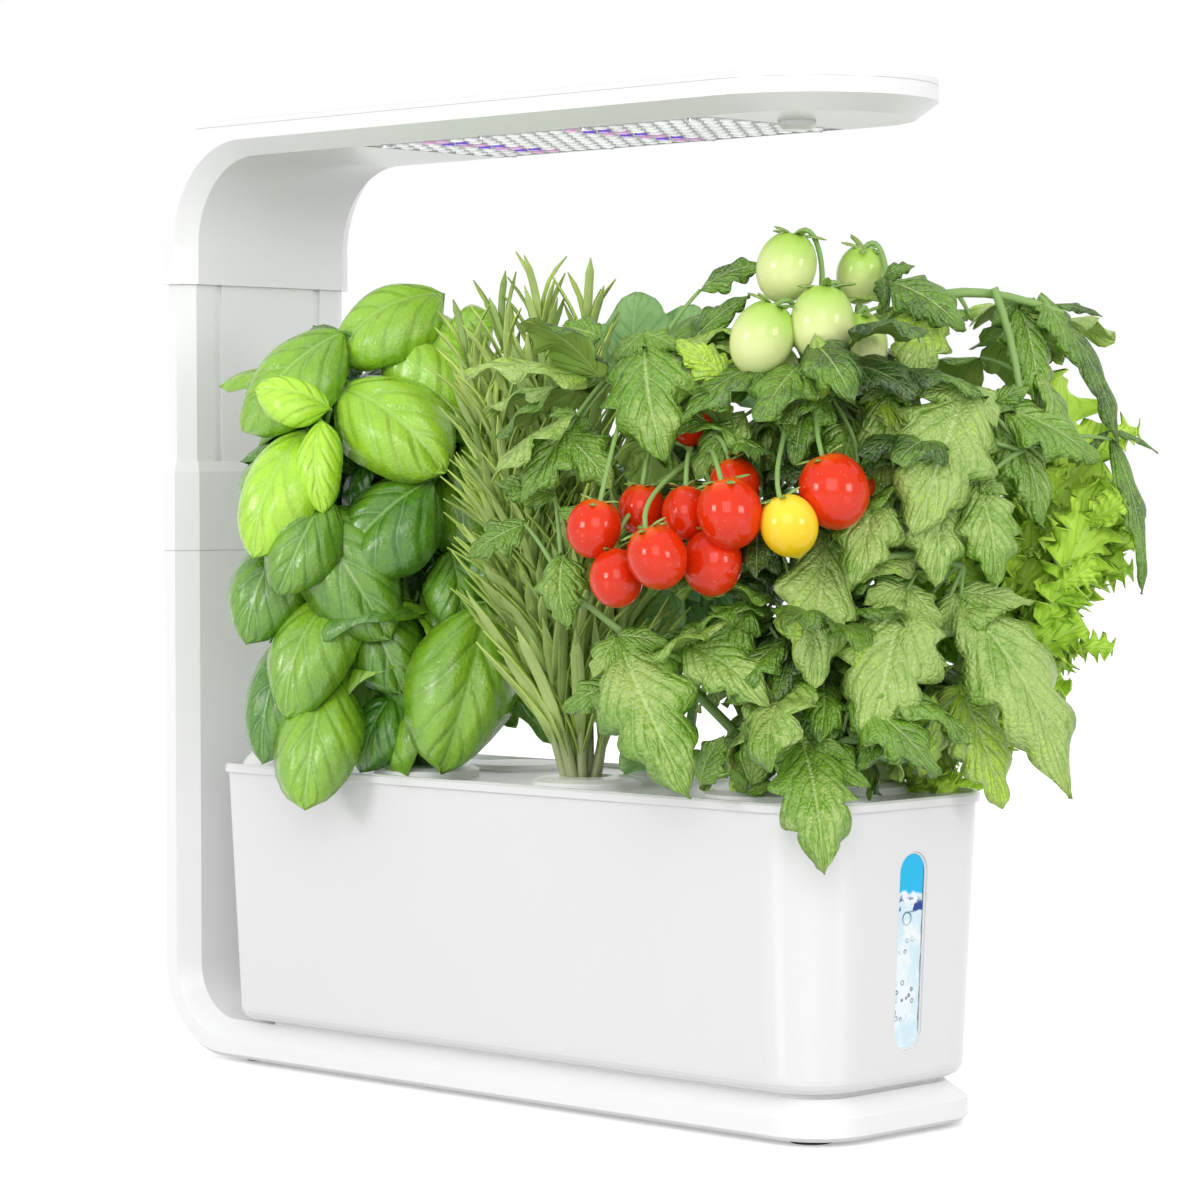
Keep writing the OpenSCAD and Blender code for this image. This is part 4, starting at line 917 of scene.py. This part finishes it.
def makeLettuce():
    rng = random.Random(lettuce["seed"])
    foot = Vector(lettuce["foot"])
    bm = newLeaves()
    ribs = []
    for row in lettuce["fronds"]:
        begin, end = Vector(row[:3]), Vector(row[3:6])
        width, toneAndShade = row[6:]
        facing = toCamera * 0.6 + Vector((rng.uniform(-0.5, 0.5), rng.uniform(-0.5, 0.5), 0.3))
        addLeaf(bm, "frill", begin.lerp(end, 0.12) * mm, end * mm, width * mm, facing, rng, toneAndShade, 40, 10,
                1.2, rng.uniform(-0.7, 0.7))
        for share in lettuce["forks"]:
            side = Vector((rng.uniform(-1, 1), rng.uniform(-1, 1), rng.uniform(0.1, 0.7))).normalized()
            fork = begin.lerp(end, share)
            addLeaf(bm, "frill", fork * mm, (fork + side * width * rng.uniform(0.6, 0.9)) * mm,
                    width * 0.55 * mm, facing, rng, min(1, toneAndShade + rng.uniform(-0.15, 0.2)), 22, 8, 1.0,
                    rng.uniform(-0.8, 0.8))
        middle = foot.lerp(begin, 0.5) + Vector((0, 0, 6))
        ribs.append([(*foot, 3.0), (*middle, 2.6), (*begin, 2.0), (*begin.lerp(end, 0.5), 1.1),
                     (*begin.lerp(end, 0.85), 0.6)])
    upper = leafFinish("lettuceFrond", (0.14, 0.40, 0.012), (0.60, 0.88, 0.09), (0.74, 0.92, 0.34), 0.42,
                       6.0, 0.5, 1.0, veinShow=0.30, mottle=0.35)
    under = leafFinish("lettuceUnder", (0.18, 0.38, 0.04), (0.50, 0.72, 0.14), (0.6, 0.76, 0.3), 0.5, 6.0,
                       0.5, 0.6, veinShow=0.4, mottle=0.25)
    leaves = finishLeaves(bm, "lettuceFronds", upper, under, 0.35)
    stems = tubes("lettuceRibs", ribs, stemFinish("lettuceRib", (0.62, 0.74, 0.40), (0.45, 0.66, 0.20)))
    dressPlant([leaves, stems], ["lettuce_plant"])


makeHerb()
makeLettuce()
print("herb and lettuce grown")

tomato = {
    "seed": 5, "axis": (122, -20), "sideLeafFrom": 30,
    "outer": {"count": 95, "size": (28, 44), "toneAndShadeRange": (0.12, 0.95), "rows": 18, "columns": 6, "drop": 0.4},
    # Inner leaves fill the bulk with the darkest values, a painted shade deep in the plant.
    "inner": {"count": 95, "size": (26, 40), "toneAndShadeRange": (0.0, 0.40), "rows": 16, "columns": 6, "keepOff": 2.0,
              "reach": (0.2, 0.85)},
    "shells": [
        ((140, -22, 164), (32, 18, 42)), ((132, -8, 256), (36, 28, 32)), ((88, -50, 240), (23, 25, 23)),
        ((176, 38, 262), (20, 24, 18))],
    "trunks": [
        [(120, -23, 108, 3.4), (118, -25, 150, 3.1), (120, -22, 200, 2.8), (128, -12, 252, 2.0),
         (132, -8, 272, 1.4)],
        [(120, -23, 190, 2.2), (106, -38, 224, 1.9), (90, -50, 250, 1.4), (76, -60, 258, 1.0)],
        [(126, -14, 244, 2.2), (150, 2, 272, 1.9), (172, 30, 282, 1.6), (186, 54, 272, 1.2)],
        [(119, -24, 130, 2.2), (138, -28, 150, 1.9), (152, -26, 180, 1.6), (166, -8, 196, 1.3),
         (176, 14, 188, 1.1)],
        [(119, -24, 125, 1.8), (108, -46, 150, 1.6), (98, -66, 166, 1.3), (84, -80, 182, 1.0)],
        [(121, -23, 118, 1.8), (140, -32, 126, 1.6), (156, -24, 134, 1.3), (168, -4, 128, 1.1)],
        [(176, 30, 280, 1.5), (182, 40, 250, 1.3), (186, 32, 226, 1.1)]],
    "innerShells": [
        ((136, -16, 160), (30, 16, 36)), ((120, -30, 212), (34, 16, 34)), ((134, -8, 250), (30, 20, 26)),
        ((160, 6, 150), (22, 18, 30)), ((165, 10, 220), (20, 18, 36))],
    "leaves": [
        (98, -56, 262, 113, -62, 222, 34, 0.42), (99, -30, 280, 118, -18, 288, 15, 0.25),
        (96, -32, 262, 114, -22, 278, 14, 0.22), (114, -44, 236, 96, -60, 246, 22, 0.45),
        (123, -34, 238, 115, -50, 216, 20, 0.50), (127, -27, 238, 145, -14, 245, 18, 0.55),
        (147, -25, 243, 150, -30, 264, 14, 0.88), (154, 3, 282, 178, 12, 265, 20, 0.28),
        (160, 16, 277, 159, 2, 246, 24, 0.86), (175, 45, 274, 183, 44, 238, 22, 0.35),
        (180, 49, 278, 190, 52, 258, 16, 0.32), (184, 54, 272, 199, 68, 226, 13, 0.25),
        (197, 66, 230, 205, 73, 178, 11, 0.28), (178, 12, 245, 178, -14, 198, 40, 0.62),
        (157, -1, 245, 161, -11, 200, 22, 0.50), (181, 28, 240, 203, 51, 222, 26, 0.45),
        (177, 32, 240, 187, 42, 200, 26, 0.50), (148, -22, 197, 155, -38, 148, 32, 0.70),
        (167, -5, 179, 169, -25, 130, 38, 0.62), (171, 10, 172, 188, 23, 175, 22, 0.60),
        (175, 14, 177, 206, 32, 112, 36, 0.66), (171, 19, 146, 185, 23, 108, 26, 0.90),
        (100, -70, 163, 131, -70, 114, 36, 0.50), (116, -56, 163, 146, -48, 143, 26, 0.55),
        (138, -39, 134, 169, -25, 117, 26, 0.50), (150, -36, 130, 178, -58, 92, 30, 0.50),
        (119, -52, 117, 126, -48, 133, 16, 0.50), (131, -41, 117, 139, -35, 147, 18, 0.50),
        (164, 6, 119, 168, 9, 146, 18, 0.92), (66, -80, 202, 52, -93, 191, 17, 0.30),
        (84, -80, 192, 90, -84, 168, 20, 0.45), (78, -69, 236, 70, -86, 209, 22, 0.40),
        (82, -60, 264, 70, -66, 268, 14, 0.30), (78, -73, 232, 93, -66, 214, 20, 0.45),
        (70, -70, 212, 58, -86, 216, 15, 0.30), (92, -62, 200, 78, -76, 206, 18, 0.35),
        (96, -64, 150, 80, -76, 140, 18, 0.45), (130, -40, 176, 122, -54, 156, 22, 0.45),
        (140, -32, 160, 136, -48, 136, 24, 0.50), (110, -52, 150, 98, -66, 134, 22, 0.42),
        (160, -14, 214, 166, -30, 182, 26, 0.50), (172, 0, 214, 180, -6, 182, 26, 0.55),
        (184, 12, 214, 194, 8, 182, 24, 0.55), (120, -40, 250, 110, -54, 262, 16, 0.84),
        (146, -6, 236, 152, -22, 214, 22, 0.45), (108, -50, 200, 96, -62, 184, 20, 0.30)],
}
fruit = {
    # Centre and radius in mm, then the colour from green (0) by yellow (0.5) to red (1).
    "ripe": [
        ((101, -83, 201), 9.7, 1.0), ((109, -81, 185), 9.6, 1.0), ((104, -64, 207), 8.6, 0.9),
        ((128, -82, 192), 10.5, 1.0), ((123, -63, 206), 8.8, 0.95), ((133, -61, 190), 10.8, 1.0),
        ((142, -63, 206), 11.6, 1.0), ((129, -46, 215), 9.0, 0.95), ((162, -35, 213), 12.4, 1.0),
        ((156, -50, 202), 10.2, 0.5), ((106, -42, 236), 8.2, 0.93), ((154, -16, 212), 9.0, 1.0)],
    "green": [
        ((126, -17, 287), 10.0), ((130, -34, 263), 10.5), ((144, -20, 268), 10.5), ((137, 8, 285), 8.5),
        ((146, -3, 261), 9.5), ((125, -22, 252), 8.5), ((97, -29, 256), 6.5)],
    "segments": 28, "rings": 18, "greenLong": 1.22, "ripeLong": 1.12, "ripeScale": 0.92,
    # The yellow fruit has a short point.
    "yellow": 0.5, "nose": 0.12, "sepals": 5, "sepalTurn": 1.2566,
}


def addFruit(bm, centre, radius, ripeness, rng, long, nose=0.0):
    # A ball with a shallow dimple at the stalk, slightly uneven round its waist.
    ball = bmesh.ops.create_uvsphere(bm, u_segments=fruit["segments"], v_segments=fruit["rings"], radius=1.0)
    lean = Matrix.Rotation(rng.uniform(-0.35, 0.35), 3, "X")
    lean = lean @ Matrix.Rotation(rng.uniform(-0.35, 0.35), 3, "Y")
    toneAndShade, high = bm.verts.layers.float["toneAndShade"], bm.verts.layers.float["high"]
    for vert in ball["verts"]:
        p = vert.co.copy()
        flat = math.hypot(p.x, p.y)
        turn = math.atan2(p.y, p.x)
        vert[high] = p.z * 0.5 + 0.5
        swell = 1 + 0.025 * math.cos(3 * turn + centre[0]) * flat
        z = p.z * long
        if p.z > 0:
            z -= 0.16 * (1 - min(1, flat / 0.45)) ** 2
        if nose and p.z < -0.9:
            z -= nose * (1 - min(1, flat / 0.3)) ** 2
        vert.co = Vector(centre) * mm + lean @ Vector((p.x * swell, p.y * swell, z)) * radius * mm
        vert[toneAndShade] = ripeness
    return lean @ Vector((0, 0, 1))


def fruitFinish():
    sockets = {"Specular IOR Level": 0.35}
    material, tree, shader = newMaterial("tomatoSkin", (0.7, 0.03, 0.01), 0.14, sockets)
    ripe, high = sheetValue(tree, "toneAndShade"), sheetValue(tree, "high")
    where = place(tree)
    patch = uneven(where, 90.0, 2.0, 0.12)
    level = calc("ADD", high, patch)
    cream = blend(rise(level, 0.30, 0.95), (0.78, 0.84, 0.38), (0.42, 0.66, 0.10))
    yellow = blend(rise(level, 0.2, 0.95), (0.90, 0.60, 0.008), (0.94, 0.74, 0.05))
    red = blend(rise(level, 0.80, 1.05), (0.74, 0.030, 0.003), (0.80, 0.16, 0.01))
    colour = blend(rise(ripe, 0.15, 0.45), cream, yellow)
    colour = blend(rise(ripe, 0.6, 0.85), colour, red)
    freckle = rise(speckle(where, 900.0), 0.66, 0.74)
    paint(shader, blend(product(freckle, 0.12), colour, (0.95, 0.85, 0.6)))
    addBump(shader, patch, 0.15, 0.001)
    return material


def addCalyx(bm, centre, up, radius, rng):
    # A small star of pointed sepals, bent back from the fruit.
    crown = Vector(centre) + up * radius * 0.9
    spin = rng.uniform(0, 1.2)
    side = up.orthogonal().normalized()
    for index in range(fruit["sepals"]):
        spread = side.copy()
        spread.rotate(Matrix.Rotation(spin + index * fruit["sepalTurn"], 3, up))
        tip = crown + spread * radius * rng.uniform(0.7, 0.95) + up * radius * rng.uniform(-0.02, 0.3)
        addLeaf(bm, "needle", crown * mm, tip * mm, radius * 0.26 * mm, up, rng, 0.55, 5, 2, 1.2)


def makeTomato():
    rng = random.Random(tomato["seed"])
    bm = newLeaves()
    bases = []
    for row in tomato["leaves"]:
        growLeaf(bm, row, rng, "tomato", tomato["axis"], 30, 10, 0.5)
        bases.append(row[:3])
        start = Vector(row[:3])
        run = Vector(row[3:6]) - start
        if run.length > tomato["sideLeafFrom"]:
            for side in (-1, 1):
                # Small side leaflets at the base of the big ones.
                out = run.cross(toCamera).normalized() * side
                foot = start - run.normalized() * 3
                reach = (out * 0.8 + run.normalized() * 0.6) * run.length * rng.uniform(0.26, 0.36)
                small = (*foot, *(foot + reach), row[6] * 0.36, row[7] - 0.05)
                growLeaf(bm, small, rng, "tomato", tomato["axis"], 18, 6, 0.5)
    upper = leafFinish("tomatoLeaf", (0.02, 0.07, 0.006), (0.46, 0.72, 0.045), (0.58, 0.72, 0.28), 0.32,
                       6.5, 0.42, 2.0, veinShow=0.50, mottle=0.55, net=0.45, netShow=0.11, gloss=0.65,
                       between=[(0.15, 0.33, 0.018), (0.35, 0.51, 0.115)])
    under = leafFinish("tomatoUnder", (0.22, 0.38, 0.06), (0.46, 0.64, 0.15), (0.55, 0.70, 0.32), 0.62,
                       6.5, 0.42, 0.8, veinShow=0.5, mottle=0.25)
    front = finishLeaves(bm, "tomatoLeaves", upper, under, 0.3)
    bm = newLeaves()
    bases += fillLeaves(bm, rng, "tomato", tomato["shells"], **tomato["outer"])
    bases += fillLeaves(bm, rng, "tomato", tomato["innerShells"], **tomato["inner"])
    back = finishLeaves(bm, "tomatoBackLeaves", upper, under, 0.3)

    bm = newLeaves()
    bm.verts.layers.float.new("high")
    calyx = newLeaves()
    stalks = []
    for centre, radius, ripeness in fruit["ripe"]:
        radius *= fruit["ripeScale"]
        nose = fruit["nose"] if ripeness == fruit["yellow"] else 0.0
        up = addFruit(bm, centre, radius, ripeness, rng, fruit["ripeLong"], nose)
        addCalyx(calyx, centre, up, radius, rng)
        top = Vector(centre) + up * radius * 0.9
        foot = reachStem(top + Vector((0, 0, 26)), tomato["trunks"])
        stalks.append([(*top, 0.9), (*(top + up * 7), 0.8), (*((top + foot) * 0.5 + Vector((0, 0, 8))), 0.8),
                       (*foot, 1.1)])
    for centre, radius in fruit["green"]:
        up = addFruit(bm, centre, radius, 0.0, rng, fruit["greenLong"])
        addCalyx(calyx, centre, up, radius * 1.15, rng)
        top = Vector(centre) + up * radius * 1.1
        foot = reachStem(top - Vector((0, 0, 10)), tomato["trunks"])
        stalks.append([(*top, 0.9), (*(top + up * 5 + Vector((2, 3, 0))), 0.9),
                       (*((top + foot) * 0.5 + Vector((4, 5, 0))), 0.9), (*foot, 1.2)])
    fruits = addObject("tomatoFruit", meshFrom(bm, "tomatoFruit", True))
    fruits.data.materials.append(fruitFinish())
    sepals = finishLeaves(calyx, "tomatoSepals", upper, under, 0.3)
    stems = growStems("tomato", tomato, bases, 0.8, (0.30, 0.44, 0.16), (0.26, 0.44, 0.12), stalks)
    dressPlant([front, back, sepals, stems], ["tomato_plant", "tomato_crown"])
    dressPlant([fruits], ["ripe_tomatoes"])


makeTomato()
print("tomato grown")
